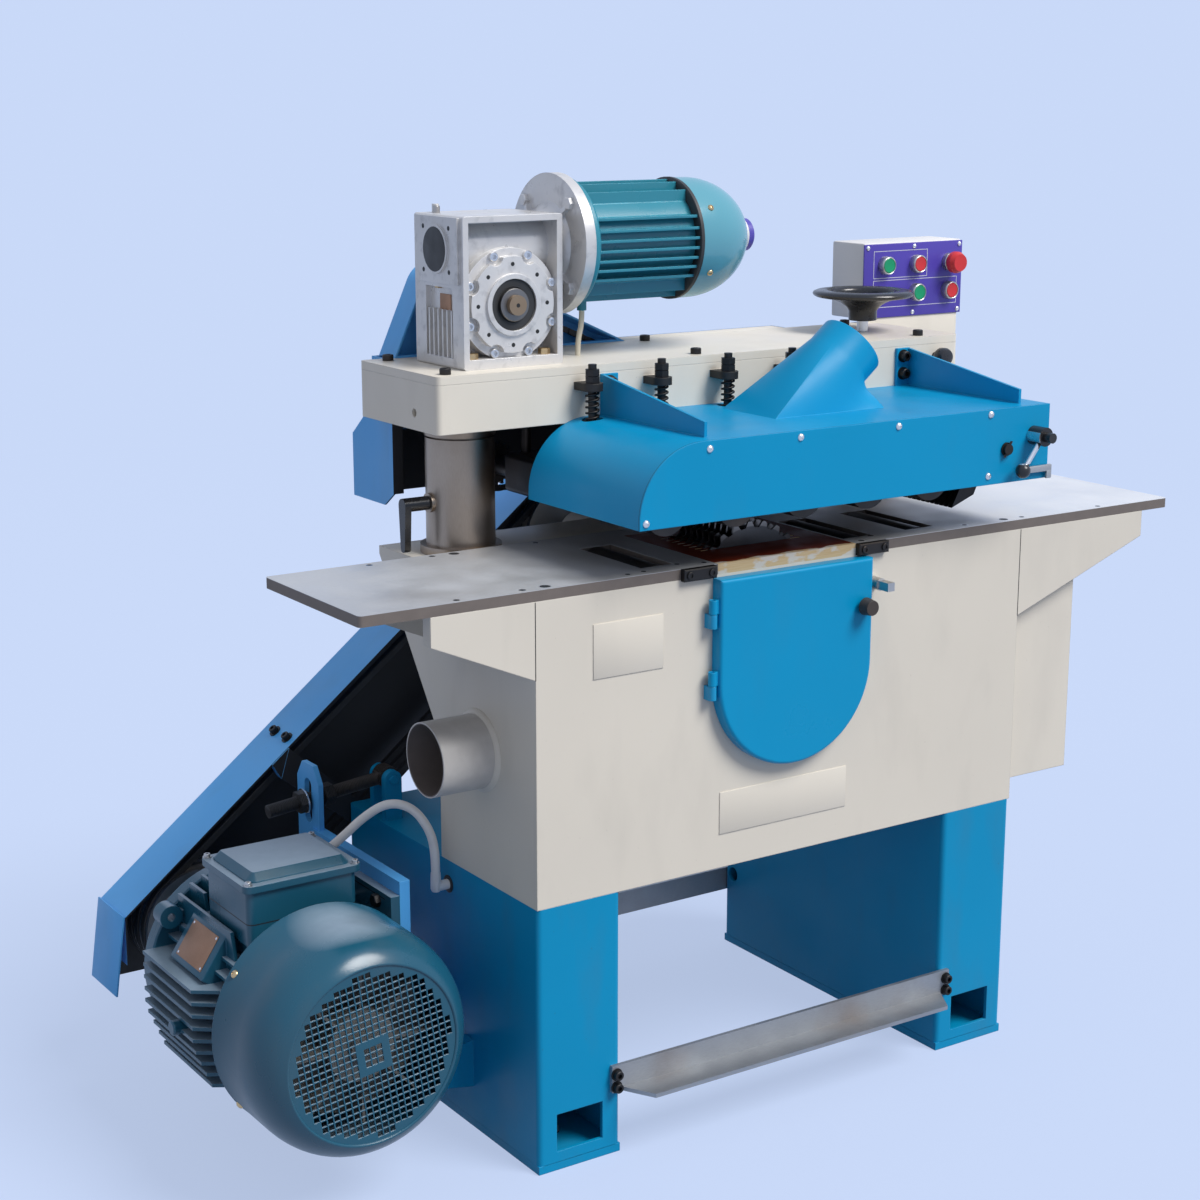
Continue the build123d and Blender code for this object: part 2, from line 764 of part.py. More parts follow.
# Column sleeves on the rear shelf, the left one with a boss for its clamp screw
with BuildPart() as columns:
    for column_x in column_xs:
        bar("Z", sleeve_radius, bed_top, sleeve_top, (column_x, column_y))
        bar("Z", sleeve_foot_radius, bed_top, bed_top + sleeve_foot_height, (column_x, column_y))
    bar("X", lever_radius + 4.0, column_xs[0] - sleeve_radius - 4.0, column_xs[0], (column_y, lever_z))
    for column_x in column_xs:
        bar("Z", post_radius + running_gap, bed_top, sleeve_top, (column_x, column_y), Mode.SUBTRACT)
    bar("X", lever_radius / 2 + running_gap, column_xs[0] - sleeve_radius - 4.0, column_xs[0],
        (column_y, lever_z), Mode.SUBTRACT)
save("columns", columns)

# Clamp lever: screw into the sleeve, hub and a drooping flat handle
with BuildPart() as column_lever:
    hub_right = column_xs[0] - sleeve_radius - 4.0 - moving_gap
    hub_left = hub_right - lever_reach + 4.0
    bar("X", lever_radius, hub_left, hub_right, (column_y, lever_z))
    bar("X", lever_radius / 2, hub_right, column_xs[0] - post_radius - 2.0, (column_y, lever_z))
    with BuildSketch(Plane.YZ.offset(hub_left)):
        wrapped([(column_y, lever_z, lever_radius), (column_y, lever_z - lever_drop + 6.0, 6.0)])
    extrude(amount=lever_radius)
save("column_lever", column_lever)

# Arbor: bearing housing, shaft with spacers, nut and grooved pulley, and the blades
housing_front = opening_back - 10.0
with BuildPart() as arbor_housing:
    bar("Y", housing_radius, housing_front, housing_back, (arbor_x, arbor_z))
    bar("Y", housing_radius + 12.0, front_y + shelf_depth + 10.0, front_y + shelf_depth + 24.0,
        (arbor_x, arbor_z))
    bar("Y", arbor_radius + running_gap, housing_front, housing_back, (arbor_x, arbor_z),
        Mode.SUBTRACT)
save("arbor_housing", arbor_housing)

belt_ys = [pulley_front + pulley_length / 2 + (i - (belt_count - 1) / 2) * belt_pitch
           for i in range(belt_count)]
shaft_end = pulley_back + 3.0


def grooved_pulley(place, radius):
    """Pulley body with a square-bottomed groove for each belt."""
    bar("Y", radius, pulley_front, pulley_back, place)
    for belt_y in belt_ys:
        groove = belt_width / 2 + belt_groove_gap
        depth = belt_height + belt_groove_gap - 2.0
        with BuildSketch(at_y(belt_y + groove)) as ring:
            with Locations(place):
                Circle(radius + 1.0)
                Circle(radius - depth, mode=Mode.SUBTRACT)
        extrude(ring.sketch, amount=2 * groove, mode=Mode.SUBTRACT)


with BuildPart() as arbor_shaft:
    axis_place = (arbor_x, arbor_z)
    grooved_pulley(axis_place, arbor_pulley_radius)
    stack_front = blade_ys[0] - blade_thickness / 2
    stack_back = blade_ys[-1] + blade_thickness / 2
    bar("Y", arbor_radius, stack_front - 30.0, shaft_end, axis_place)
    bar("Y", collar_radius, stack_front - 12.0, stack_front, axis_place)
    bar("Y", collar_radius, stack_back, housing_front - 3.0, axis_place)
    for blade_y in blade_ys[:-1]:
        bar("Y", collar_radius - 4.0, blade_y + blade_thickness / 2,
            blade_y + blade_pitch - blade_thickness / 2, axis_place)
    with BuildSketch(at_y(stack_front - 12.0)):
        with Locations(axis_place):
            RegularPolygon(arbor_radius + 8.0, 6)
    extrude(amount=14.0)
save("arbor_shaft", arbor_shaft)

with BuildPart() as saw_blades:
    for blade_y in blade_ys:
        with BuildSketch(at_y(blade_y + blade_thickness / 2)):
            toothed(arbor_x, arbor_z, blade_radius, blade_radius - tooth_depth, blade_teeth)
            with Locations((arbor_x, arbor_z)):
                Circle(arbor_radius + running_gap, mode=Mode.SUBTRACT)
        extrude(amount=blade_thickness)
save("saw_blades", saw_blades)

# V-belts from the motor pulley up to the arbor
belt_wheels = [
    (motor_axis_x, motor_axis_z, motor_pulley_radius + 2.0),
    (arbor_x, arbor_z, arbor_pulley_radius + 2.0),
]
with BuildPart() as drive_belts:
    for belt_y in belt_ys:
        with BuildSketch(at_y(belt_y + belt_width / 2)):
            wrapped(belt_wheels)
            wrapped(grown(belt_wheels, -belt_height), Mode.SUBTRACT)
        extrude(amount=belt_width)
save("drive_belts", drive_belts)

# Motor plate on its hinge, with the slotted bracket for the tension rod
slot_plate_x = pivot_x
with BuildPart() as motor_plate:
    plate_foot = plate_pivot_z + 2 * pivot_boss_radius
    block((pivot_x - motor_plate_thickness / 2, plate_right), (plate_front, plate_back),
          (plate_foot, motor_plate_top))
    barrel_front = plate_front + arm_thickness + moving_gap
    barrel_back = plate_back - arm_thickness - moving_gap
    bar("Y", pivot_boss_radius, barrel_front, barrel_back, (pivot_x, plate_pivot_z))
    block((pivot_x - motor_plate_thickness / 2, plate_right), (barrel_front, barrel_back),
          (plate_pivot_z, plate_foot))
    bar("Y", pivot_radius + running_gap, barrel_front, barrel_back, (pivot_x, plate_pivot_z),
        Mode.SUBTRACT)
    bracket_top = motor_plate_top + slot_plate_height
    with BuildSketch(Plane.YZ.offset(slot_plate_x - slot_plate_thickness / 2)):
        Polygon((rod_y - slot_plate_width / 2, motor_plate_top - 30.0),
                (rod_y + slot_plate_width / 2, motor_plate_top - 30.0),
                (rod_y + slot_plate_width / 2, bracket_top - 25.0),
                (rod_y + slot_plate_width / 4, bracket_top),
                (rod_y - slot_plate_width / 4, bracket_top),
                (rod_y - slot_plate_width / 2, bracket_top - 25.0), align=None)
        with Locations((rod_y, motor_plate_top + slot_plate_height * 0.4)):
            SlotOverall(slot_plate_height * 0.72, 2 * (rod_radius + 1.5), rotation=90, mode=Mode.SUBTRACT)
    extrude(amount=slot_plate_thickness)
save("motor_plate", motor_plate)

# Tension rod with an eye on the lugs' pin and nuts each side of the slotted bracket
rod_direction = (-cos(radians(rod_tilt)), 0, -sin(radians(rod_tilt)))
rod_start = Vector(rod_eye_x, rod_y, rod_eye_z)


def along_rod(distance):
    """Plane square to the tension rod at a distance from its eye."""
    return Plane(origin=rod_start + Vector(*rod_direction) * distance, x_dir=(0, 1, 0), z_dir=rod_direction)


bracket_distance = (rod_eye_x - slot_plate_x) / cos(radians(rod_tilt))
nut_gap = slot_plate_thickness / 2 + rod_nut * tan(radians(rod_tilt)) / 2 + 1.0
with BuildPart() as tension_rod:
    bar("Y", rod_eye_radius, rod_y - rod_eye_width / 2, rod_y + rod_eye_width / 2,
        (rod_eye_x, rod_eye_z))
    with BuildSketch(along_rod(0)):
        Circle(rod_radius)
    extrude(amount=rod_length)
    for start in (bracket_distance + nut_gap, bracket_distance - nut_gap - 12.0 - rod_nut_height):
        with BuildSketch(along_rod(start)):
            RegularPolygon(rod_nut / 2, 6, major_radius=False)
        extrude(amount=rod_nut_height)
    bar("Y", rod_pin_radius + running_gap, rod_y - rod_eye_width / 2, rod_y + rod_eye_width / 2,
        (rod_eye_x, rod_eye_z), Mode.SUBTRACT)
save("tension_rod", tension_rod)

# Saw motor: finned frame with end shield, side feet and terminal box
motor_place = (motor_axis_x, motor_axis_z)
motor_back = motor_front + motor_body_length
shield_back = motor_back + motor_shield_length
terminal_bottom = motor_axis_z + motor_core_radius - 6.0
terminal_top = motor_axis_z + motor_fin_radius + terminal_height
exit_point = (motor_axis_x + terminal_width / 2 + 10.0, terminal_length / 2 - 25.0, terminal_top - 30.0)
conduit_exit = Plane(origin=exit_point, x_dir=(0, 1, 0), z_dir=(cos(radians(30)), 0, sin(radians(30))))
motor_fin_steps = int(motor_fin_radius / sqrt(2) / motor_fin_pitch)
nameplate_plane = Plane(origin=(motor_axis_x, nameplate_y, motor_axis_z), x_dir=(0, 1, 0),
                        z_dir=(-sin(radians(nameplate_tilt)), 0, cos(radians(nameplate_tilt))))
with BuildPart() as motor_frame:
    with BuildSketch(at_y(motor_back)):
        with Locations(motor_place):
            Circle(motor_core_radius)
        for step in range(-motor_fin_steps, motor_fin_steps + 1):
            height = step * motor_fin_pitch
            start = abs(height)
            end = sqrt(motor_fin_radius**2 - height**2)
            for side in (-1, 1):
                with Locations((motor_axis_x + side * (start + end) / 2, motor_axis_z + height)):
                    Rectangle(end - start, motor_fin_thickness)
                with Locations((motor_axis_x + height, motor_axis_z + side * (start + end) / 2)):
                    Rectangle(motor_fin_thickness, end - start)
    extrude(amount=motor_body_length)
    with BuildSketch(nameplate_plane.offset(motor_core_radius - nameplate_rise)):
        Rectangle(nameplate_length, nameplate_width)
    extrude(amount=2 * nameplate_rise)
    for tilt in (45, 135, 225, 315):
        ear = ((motor_fin_radius - 6.0) * cos(radians(tilt)), (motor_fin_radius - 6.0) * sin(radians(tilt)))
        bar("Y", motor_ear_radius, motor_back - 20.0, motor_back + motor_shield_length / 2,
            (motor_axis_x + ear[0], motor_axis_z + ear[1]))
    spigot = cowl_radius - sheet - seat_gap
    bar("Y", spigot, motor_front - 8.0, motor_front + 10.0, motor_place)
    bar("Y", motor_fin_radius, motor_back, motor_back + motor_shield_length / 2, motor_place)
    bar("Y", motor_fin_radius - 8.0, motor_back + motor_shield_length / 2, shield_back, motor_place,
        top_radius=motor_core_radius / 2)
    foot_x = motor_axis_x + motor_foot_reach
    for foot_low, foot_high in ((-104.0, -60.0), (68.0, 140.0)):
        block((foot_x - foot_rail, foot_x), (plate_front, motor_back - 12.0),
              (motor_axis_z + foot_low, motor_axis_z + foot_high))
        for web_front in (motor_front + 30.0, motor_front + motor_body_length / 2, motor_back - 40.0):
            block((motor_axis_x + motor_core_radius / 2, foot_x - foot_rail),
                  (web_front, web_front + foot_web),
                  (motor_axis_z + foot_low, motor_axis_z + min(foot_high, 108.0)))
    with BuildSketch(Plane.XY.offset(terminal_bottom)):
        with Locations((motor_axis_x, 0)):
            RectangleRounded(terminal_width - 12.0, terminal_length - 12.0, 10.0)
    lid_bottom = terminal_top - lid_rise - lid_flange
    extrude(amount=lid_bottom - terminal_bottom)
    with BuildSketch(Plane.XY.offset(lid_bottom)):
        with Locations((motor_axis_x, 0)):
            RectangleRounded(terminal_width, terminal_length, 12.0)
    extrude(amount=lid_flange)
    with BuildSketch(Plane.XY.offset(lid_bottom + lid_flange)):
        with Locations((motor_axis_x, 0)):
            RectangleRounded(terminal_width - 2 * lid_border, terminal_length - 2 * lid_border,
                             lid_corner)
    extrude(amount=lid_rise)
    chamfer(motor_frame.faces().sort_by(Axis.Z)[-1].edges(), lid_rise - 2.0)
    with BuildSketch(conduit_exit.offset(-20.0)):
        Circle(conduit_radius + 4.0)
    extrude(amount=20.0)
    bar("Y", motor_shaft_radius + running_gap, motor_front - 8.0, shield_back, motor_place,
        Mode.SUBTRACT)
save("motor_frame", motor_frame)

# Fan cowl: rounded drum over the rear spigot with a perforated end
with BuildPart() as fan_cowl:
    bar("Y", cowl_radius, cowl_front, cowl_back, motor_place)
    fillet(fan_cowl.faces().sort_by(Axis.Y)[0].edges(), cowl_round)
    bar("Y", cowl_radius - sheet, cowl_front + cowl_round, cowl_back, motor_place, Mode.SUBTRACT)
    bar("Y", cowl_radius - cowl_round, cowl_front + sheet, cowl_front + cowl_round, motor_place,
        Mode.SUBTRACT)
    steps = int(grille_radius / grille_pitch) + 1
    grille_cells = []
    for row in range(-steps, steps + 1):
        for column in range(-steps, steps + 1):
            reach = hypot(row, column) * grille_pitch
            if 2.5 * grille_pitch < reach < grille_radius - grille_pitch / 2:
                across = column * grille_pitch
                grille_cells.append((motor_axis_x + across, motor_axis_z + row * grille_pitch))
    with BuildSketch(at_y(cowl_front + sheet)):
        with Locations(*grille_cells):
            Rectangle(grille_hole, grille_hole)
    extrude(amount=sheet, mode=Mode.SUBTRACT)
save("fan_cowl", fan_cowl)

# Motor shaft with the cooling fan at the front and the belt pulley behind
with BuildPart() as motor_rotor:
    grooved_pulley(motor_place, motor_pulley_radius)
    fan_front = cowl_front + cowl_round + 10.0
    bar("Y", motor_shaft_radius, fan_front - 8.0, shaft_end, motor_place)
    bar("Y", fan_radius * 0.45, fan_front, fan_front + 30.0, motor_place)
    with BuildSketch(at_y(fan_front + 44.0)):
        with Locations(motor_place):
            with PolarLocations(fan_radius * 0.62, fan_blades):
                Rectangle(fan_radius * 0.76, 4.0)
    extrude(amount=44.0)
    bar("Y", fan_radius, fan_front + 44.0, fan_front + 48.0, motor_place)
save("motor_rotor", motor_rotor)

# Flexible conduit from the terminal box over to a gland on the pedestal's side
gland_y = -34.0
gland_x = -bed_half - 21.0
gland_top = pedestal_top - 15.0
conduit_route = [
    conduit_exit.origin,
    conduit_exit.origin + conduit_exit.z_dir * 27.0,
    (-532.0, 36.0, 453.0),
    (-505.0, 11.0, 478.0),
    (-479.0, -14.0, 473.0),
    (-461.0, -30.0, 442.0),
    (gland_x, gland_y, gland_top + 34.0),
    (gland_x, gland_y, gland_top),
]
conduit_radii = corner_radii(conduit_route)
print("conduit bend radii", [round(radius, 1) for radius in conduit_radii])
with BuildPart() as motor_conduit:
    with BuildLine():
        FilletPolyline(*conduit_route, radius=conduit_radii)
    with BuildSketch(conduit_exit):
        Circle(conduit_radius)
    sweep()
    bar("Z", conduit_radius + 4.0, gland_top - 32.0, gland_top, (gland_x, gland_y))
    bar("X", conduit_radius + 2.0, gland_x, -bed_half, (gland_y, gland_top - 21.0))
save("motor_conduit", motor_conduit)

# Belt guard: open-fronted channel over both pulleys, carried by a bar on the pedestal and one on the bed
guard_back = guard_front + guard_depth
slope = atan2(arbor_z - motor_axis_z, arbor_x - motor_axis_x)
guard_left = motor_axis_x - guard_end
guard_right = arbor_x + guard_rise
rim_z = motor_axis_z + guard_rise / cos(slope)


def rim_height(x):
    """Height of the guard's upper rim over a station along X."""
    return rim_z + (x - motor_axis_x) * tan(slope)


def skirt_height(x):
    """Height of the guard's lower edge over a station along X."""
    return rim_height(x) - 2 * guard_rise / cos(slope)


guard_crown = arbor_z + guard_rise
guard_low = motor_axis_z - guard_skirt
crown_x = motor_axis_x + (guard_crown - rim_z) / tan(slope)
skirt_x = motor_axis_x + (guard_low - skirt_height(motor_axis_x)) / tan(slope)
guard_outline = [
    (guard_left, guard_low), (skirt_x, guard_low), (guard_right, skirt_height(guard_right)),
    (guard_right, guard_crown), (crown_x, guard_crown), (guard_left, rim_height(guard_left)),
]
mouth_outline = [
    (guard_left + sheet, guard_low - sheet), (skirt_x, guard_low - sheet),
    (guard_right - sheet, skirt_height(guard_right) - 2 * sheet), (guard_right - sheet, guard_crown - sheet),
    (crown_x + sheet / 2, guard_crown - sheet), (guard_left + sheet, rim_height(guard_left) - sheet / 2),
]
with BuildPart() as belt_guard:
    with BuildSketch(at_y(guard_back)):
        Polygon(*guard_outline, align=None)
    extrude(amount=guard_depth)
    with BuildSketch(at_y(guard_back - sheet)):
        Polygon(*mouth_outline, align=None)
    extrude(amount=guard_depth - sheet, mode=Mode.SUBTRACT)
    arm_x = -bed_half - 112.0
    arm_z = rim_height(arm_x)
    with BuildSketch(at_y(guard_front)):
        Polygon((arm_x, arm_z - 36.0), (arm_x + 14.0, rim_height(arm_x + 14.0) - 1.0),
                (-bed_half + 40.0, pedestal_top - 20.0), (-bed_half + 40.0, pedestal_top - 62.0),
                align=None)
    extrude(amount=guard_front - pedestal_depth / 2)
    with BuildSketch(at_y(guard_front + 12.0)):
        Polygon((arm_x - 14.0, rim_height(arm_x - 14.0) - 1.0),
                (arm_x + 14.0, rim_height(arm_x + 14.0) - 1.0),
                (arm_x + 30.0, arm_z - 12.0), (arm_x, arm_z - 36.0), align=None)
    extrude(amount=14.0)
    stay_right = guard_right
    block((stay_right - 26.0, stay_right), (front_y + shelf_depth, guard_front + 6.0),
          (bed_top - shelf_thickness, bed_top))
save("belt_guard", belt_guard)

# Head beam: open-topped box with rod lugs along its front face
with BuildPart() as beam:
    block((beam_left, beam_right), (beam_front, beam_back), (beam_bottom, beam_top))
    fillet(beam.edges().filter_by(Axis.Z), bend_radius)
    block((beam_left + beam_wall, beam_right - beam_wall), (beam_front + beam_wall, beam_back - beam_wall),
          (beam_bottom + beam_wall, beam_top), Mode.SUBTRACT)
    for press_x in press_xs:
        block((press_x - lug_width / 2, press_x + lug_width / 2), (rod_line, beam_front),
              (lug_bottom, lug_top))
        bar("Z", lug_width / 2, lug_bottom, lug_top, (press_x, rod_line))
        bar("Z", press_rod_radius + moving_gap, lug_bottom, lug_top, (press_x, rod_line), Mode.SUBTRACT)
        bar("Z", guide_pin_radius + running_gap, beam_bottom, beam_bottom + beam_wall,
            (press_x, guide_pin_y), Mode.SUBTRACT)
    bar("Z", screw_bore_radius, beam_bottom, beam_bottom + beam_wall, (column_xs[1], column_y),
        Mode.SUBTRACT)
    bar("X", 6.0, beam_left, beam_left + beam_wall, (beam_front + 65.0, beam_bottom + 24.0), Mode.SUBTRACT)
save("beam", beam)

# Cover plate on the beam
with BuildPart() as top_plate:
    with BuildSketch(Plane.XY.offset(beam_top)):
        with Locations((head_centre, (beam_front + beam_back) / 2)):
            RectangleRounded(beam_length, beam_depth, bend_radius)
        with Locations((column_xs[1], column_y)):
            Circle(screw_radius + running_gap, mode=Mode.SUBTRACT)
    extrude(amount=top_plate_thickness)
save("top_plate", top_plate)

# Guide posts under the beam with tapered collars; the lifting screw runs inside the right one
with BuildPart() as guide_posts:
    for column_x in column_xs:
        bar("Z", post_radius, sleeve_top - post_engagement, beam_bottom, (column_x, column_y))
        bar("Z", post_collar_radius - 5.0, beam_bottom - post_collar_height, beam_bottom,
            (column_x, column_y), top_radius=post_collar_radius)
    bar("Z", screw_bore_radius, sleeve_top - post_engagement, beam_bottom, (column_xs[1], column_y),
        Mode.SUBTRACT)
save("guide_posts", guide_posts)

# Handwheel on the lifting screw
with BuildPart() as handwheel:
    wheel_place = (column_xs[1], column_y)
    bar("Z", screw_radius, head_top + hub_rise - screw_length, head_top + hub_rise, wheel_place)
    bar("Z", hub_radius, head_top + hub_rise, wheel_z + wheel_tube / 2, wheel_place,
        top_radius=hub_radius * 0.8)
    with Locations((*wheel_place, wheel_z)):
        Torus(wheel_radius, wheel_tube)
    for spoke in range(wheel_spokes):
        turn = 360.0 / wheel_spokes * spoke
        spoke_plane = Plane(origin=(*wheel_place, wheel_z - wheel_tube / 2), x_dir=(0, 0, 1),
                            z_dir=(cos(radians(turn)), sin(radians(turn)), 0))
        with BuildSketch(spoke_plane):
            Ellipse(wheel_tube * 0.55, wheel_tube * 0.8)
        extrude(amount=wheel_radius - wheel_tube / 2)
save("handwheel", handwheel)


def press_carrier(press_x):
    """Sliding bearing block with its spring rod, nuts and rear guide pin."""
    with BuildPart() as carrier:
        with BuildSketch(at_y(carrier_back)):
            with Locations((press_x, press_z + (carrier_above - carrier_below) / 2)):
                RectangleRounded(carrier_width, carrier_above + carrier_below, bend_radius)
            with Locations((press_x, press_z)):
                Circle(press_shaft_radius + running_gap, mode=Mode.SUBTRACT)
        extrude(amount=carrier_back - carrier_front)
        block_top = press_z + carrier_above
        bar("Z", spring_seat_radius, block_top, seat_z, (press_x, rod_line))
        nuts_bottom = lug_top + seat_gap
        nuts_top = nuts_bottom + 2 * press_nut_height + 1.0
        bar("Z", press_rod_radius, seat_z, nuts_top + rod_stub, (press_x, rod_line))
        for nut_low in (nuts_bottom, nuts_top - press_nut_height):
            with BuildSketch(Plane.XY.offset(nut_low)):
                with Locations((press_x, rod_line)):
                    RegularPolygon(press_nut / 2, 6, major_radius=False)
            extrude(amount=press_nut_height)
        bar("Z", guide_pin_radius, block_top, block_top + guide_pin_length, (press_x, guide_pin_y))
    return carrier


def press_roller(press_x):
    """Driven roller on a long shaft with its chain sprocket at the back."""
    with BuildPart() as roller:
        place = (press_x, press_z)
        roller_end = press_roller_front + press_roller_length
        bar("Y", press_roller_radius, press_roller_front, roller_end, place)
        bar("Y", press_shaft_radius, roller_end, chain_y + chain_width / 2, place)
        tip = press_pitch_radius - chain_thickness / 2 - chain_gap
        with BuildSketch(at_y(chain_y + chain_width / 2 - 1.0)):
            toothed(*place, tip, tip - tooth_cut, sprocket_teeth)
        extrude(amount=chain_width - 2.0)
    return roller


# Press spring: one wire wound from the carrier's seat up to the lug on the beam
wire_radius = spring_wire / 2
coil_radius = spring_outer_radius - wire_radius
spring_low = seat_z + spring_end_gap + wire_radius
spring_high = lug_bottom - spring_end_gap - wire_radius
spring_rise = (spring_high - spring_low) / spring_turns


def coil_point(turns):
    """Point on the spring's centre line, from its own foot."""
    angle = 2 * pi * turns
    return Vector(coil_radius * cos(angle), coil_radius * sin(angle), spring_rise * turns)


def coil_tangent(turns):
    """Direction of the spring's centre line."""
    angle = 2 * pi * turns
    climb = spring_rise / (2 * pi)
    return Vector(-coil_radius * sin(angle), coil_radius * cos(angle), climb).normalized()


def coil_gap():
    """Least gap of the wire to its own next turns, measured on points."""
    points = [coil_point(step / 48) for step in range(48 * spring_turns + 1)]
    least = min((points[i] - points[j]).length for i in range(len(points))
                for j in range(i + 36, min(i + 61, len(points))))
    return least - spring_wire


print("spring wire least gap to itself", round(coil_gap(), 2))


with BuildPart() as coil:
    with BuildLine():
        Line(coil_point(0) - coil_tangent(0) * spring_wire, coil_point(0))
        for half in range(2 * spring_turns):
            start = coil_point(half / 2)
            end = coil_point(half / 2 + 0.5)
            leave = coil_tangent(half / 2)
            arrive = coil_tangent(half / 2 + 0.5)
            chord = end - start
            both = leave + arrive
            facing = 2 * (1 - leave.dot(arrive))
            reach = (sqrt(chord.dot(both) ** 2 + facing * chord.dot(chord)) - chord.dot(both)) / facing
            joint = (start + end + (leave - arrive) * reach) * 0.5
            across = end - arrive * reach - (start + leave * reach)
            TangentArc(start, joint, tangent=leave)
            TangentArc(joint, end, tangent=across)
        last = coil_point(spring_turns)
        Line(last, last + coil_tangent(spring_turns) * spring_wire)
    with BuildSketch(Plane(origin=coil_point(0) - coil_tangent(0) * spring_wire, z_dir=coil_tangent(0))):
        RegularPolygon(wire_radius, 6)
    sweep()


def press_spring(press_x):
    """The wound wire set on its carrier's seat."""
    with BuildPart() as spring:
        with Locations((press_x, rod_line, spring_low)):
            add(coil.part)
    return spring


for number, press_x in enumerate(press_xs, 1):
    save("press_carrier_" + str(number), press_carrier(press_x))
    save("press_roller_" + str(number), press_roller(press_x))
    save("press_spring_" + str(number), press_spring(press_x))

# Worm gearbox: square frame with deep windows, worm tube, scalloped covers, finned side, motor flange
worm_place = (gear_centre_y, worm_z)
out_place = (out_x, out_z)
window_low = head_top + gear_sill
window_high = gear_top - gear_frame
cover_front = gear_front + 2.0
with BuildPart() as gearbox_case:
    with BuildSketch(at_y(gear_back)):
        with Locations((out_x, (head_top + gear_top) / 2)):
            RectangleRounded(gear_width, gear_height, gear_corner)
    extrude(amount=gear_depth)
    for window_front in (gear_front, gear_back - window_depth):
        block((gear_left + gear_frame, gear_right - gear_frame), (window_front, window_front + window_depth),
              (window_low, window_high), Mode.SUBTRACT)
    bar("X", worm_radius, gear_left + gear_frame / 2, gear_right - gear_frame / 2, worm_place)
    bar("Y", cover_flange, cover_front + cover_step, gear_back - cover_step, out_place)
    with BuildSketch(at_y(gear_back - 2.0)):
        with Locations(out_place):
            Circle(cover_radius)
            with PolarLocations(cover_screw_circle, cover_screws, start_angle=180.0 / cover_screws):
                Circle(cover_pocket, mode=Mode.SUBTRACT)
    extrude(amount=gear_depth - 4.0)
    bar("Y", cover_ring, gear_front - 2.0, cover_front, out_place)
    bar("Y", seal_radius, gear_front - 2.0, cover_front + 2.0, out_place, Mode.SUBTRACT)
    block((gear_left, gear_left + side_depth), (gear_front + side_post, gear_back - side_post),
          (window_low, worm_z - worm_radius - 8.0), Mode.SUBTRACT)
    for fin in range(side_fin_count):
        fin_y = gear_centre_y + (fin - (side_fin_count - 1) / 2) * side_fin_pitch
        block((gear_left + 1.0, gear_left + side_depth), (fin_y - side_fin / 2, fin_y + side_fin / 2),
              (window_low, window_low + side_fin_height))
    block((gear_left - 4.0, gear_left), (gear_centre_y - worm_plate, gear_centre_y + worm_plate),
          (worm_z - worm_plate_low, gear_top - 2.0))
    bar("X", worm_cap_radius, gear_left - 7.0, gear_left - 4.0, worm_place)
    bar("X", worm_radius, gear_right, flange_face - flange_thickness, worm_place,
        top_radius=worm_radius + 16.0)
    bar("X", flange_radius, flange_face - flange_thickness, flange_face, worm_place)
    for tilt in (45, 135, 225, 315):
        rib_plane = Plane(origin=(gear_right, gear_centre_y, worm_z), x_dir=(1, 0, 0),
                          z_dir=(0, -sin(radians(tilt)), cos(radians(tilt))))
        with BuildSketch(rib_plane.offset(-3.0)):
            Polygon((0, worm_radius - 4.0), (flange_neck - flange_thickness, flange_radius - 10.0),
                    (flange_neck - flange_thickness, worm_radius), (0, worm_radius - 12.0), align=None)
        extrude(amount=6.0)
    bar("Z", 5.0, gear_top - 2.0, gear_top + 12.0, (gear_left + 22.0, gear_back - 22.0))
    bar("Y", output_radius + running_gap, cover_front, gear_back, out_place, Mode.SUBTRACT)
save("gearbox_case", gearbox_case)

# Feed motor on the flange: shield, level fins, cowl and domed end
body_left = flange_face + feed_shield_length
cowl_left = body_left + feed_body_length
cowl_right = cowl_left + feed_cowl_length
cable_x = flange_face + 40.0
gland_drop = worm_z - feed_fin_radius - 12.0
with BuildPart() as feed_motor:
    bar("X", flange_radius - 5.0, flange_face, body_left, worm_place)
    fin_steps = int((feed_core_radius - 4.0) / feed_fin_pitch)
    with BuildSketch(Plane.YZ.offset(body_left)):
        with Locations(worm_place):
            Circle(feed_core_radius)
        for step in range(-fin_steps, fin_steps + 1):
            height = step * feed_fin_pitch
            with Locations((gear_centre_y, worm_z + height)):
                Rectangle(2 * sqrt(feed_fin_radius**2 - height**2), feed_fin_thickness)
            with Locations((gear_centre_y + height, worm_z)):
                Rectangle(feed_fin_thickness, 2 * sqrt(feed_fin_radius**2 - height**2))
    extrude(amount=feed_body_length - 6.0)
    bar("X", feed_core_radius, cowl_left - 6.0, cowl_left, worm_place)
    bar("X", feed_cowl_radius, cowl_left, cowl_right - 1.0, worm_place)
    with BuildSketch(at_y(gear_centre_y)):
        with BuildLine():
            dome_side = (cowl_right, worm_z + feed_cowl_radius)
            dome_shoulder = (cowl_right + 0.72 * feed_dome, worm_z + 0.7 * feed_cowl_radius)
            dome_tip = (cowl_right + feed_dome, worm_z + 0.15 * feed_cowl_radius)
            Polyline((cowl_right + feed_dome, worm_z), (cowl_right - 1.0, worm_z),
                     (cowl_right - 1.0, worm_z + feed_cowl_radius), dome_side)
            ThreePointArc(dome_side, dome_shoulder, dome_tip)
            Line(dome_tip, (cowl_right + feed_dome, worm_z))
        make_face()
    revolve(axis=Axis((0, gear_centre_y, worm_z), (1, 0, 0)))
    bar("Z", cable_radius + 3.0, gland_drop, worm_z - feed_core_radius, (cable_x, gear_centre_y))
save("feed_motor", feed_motor)

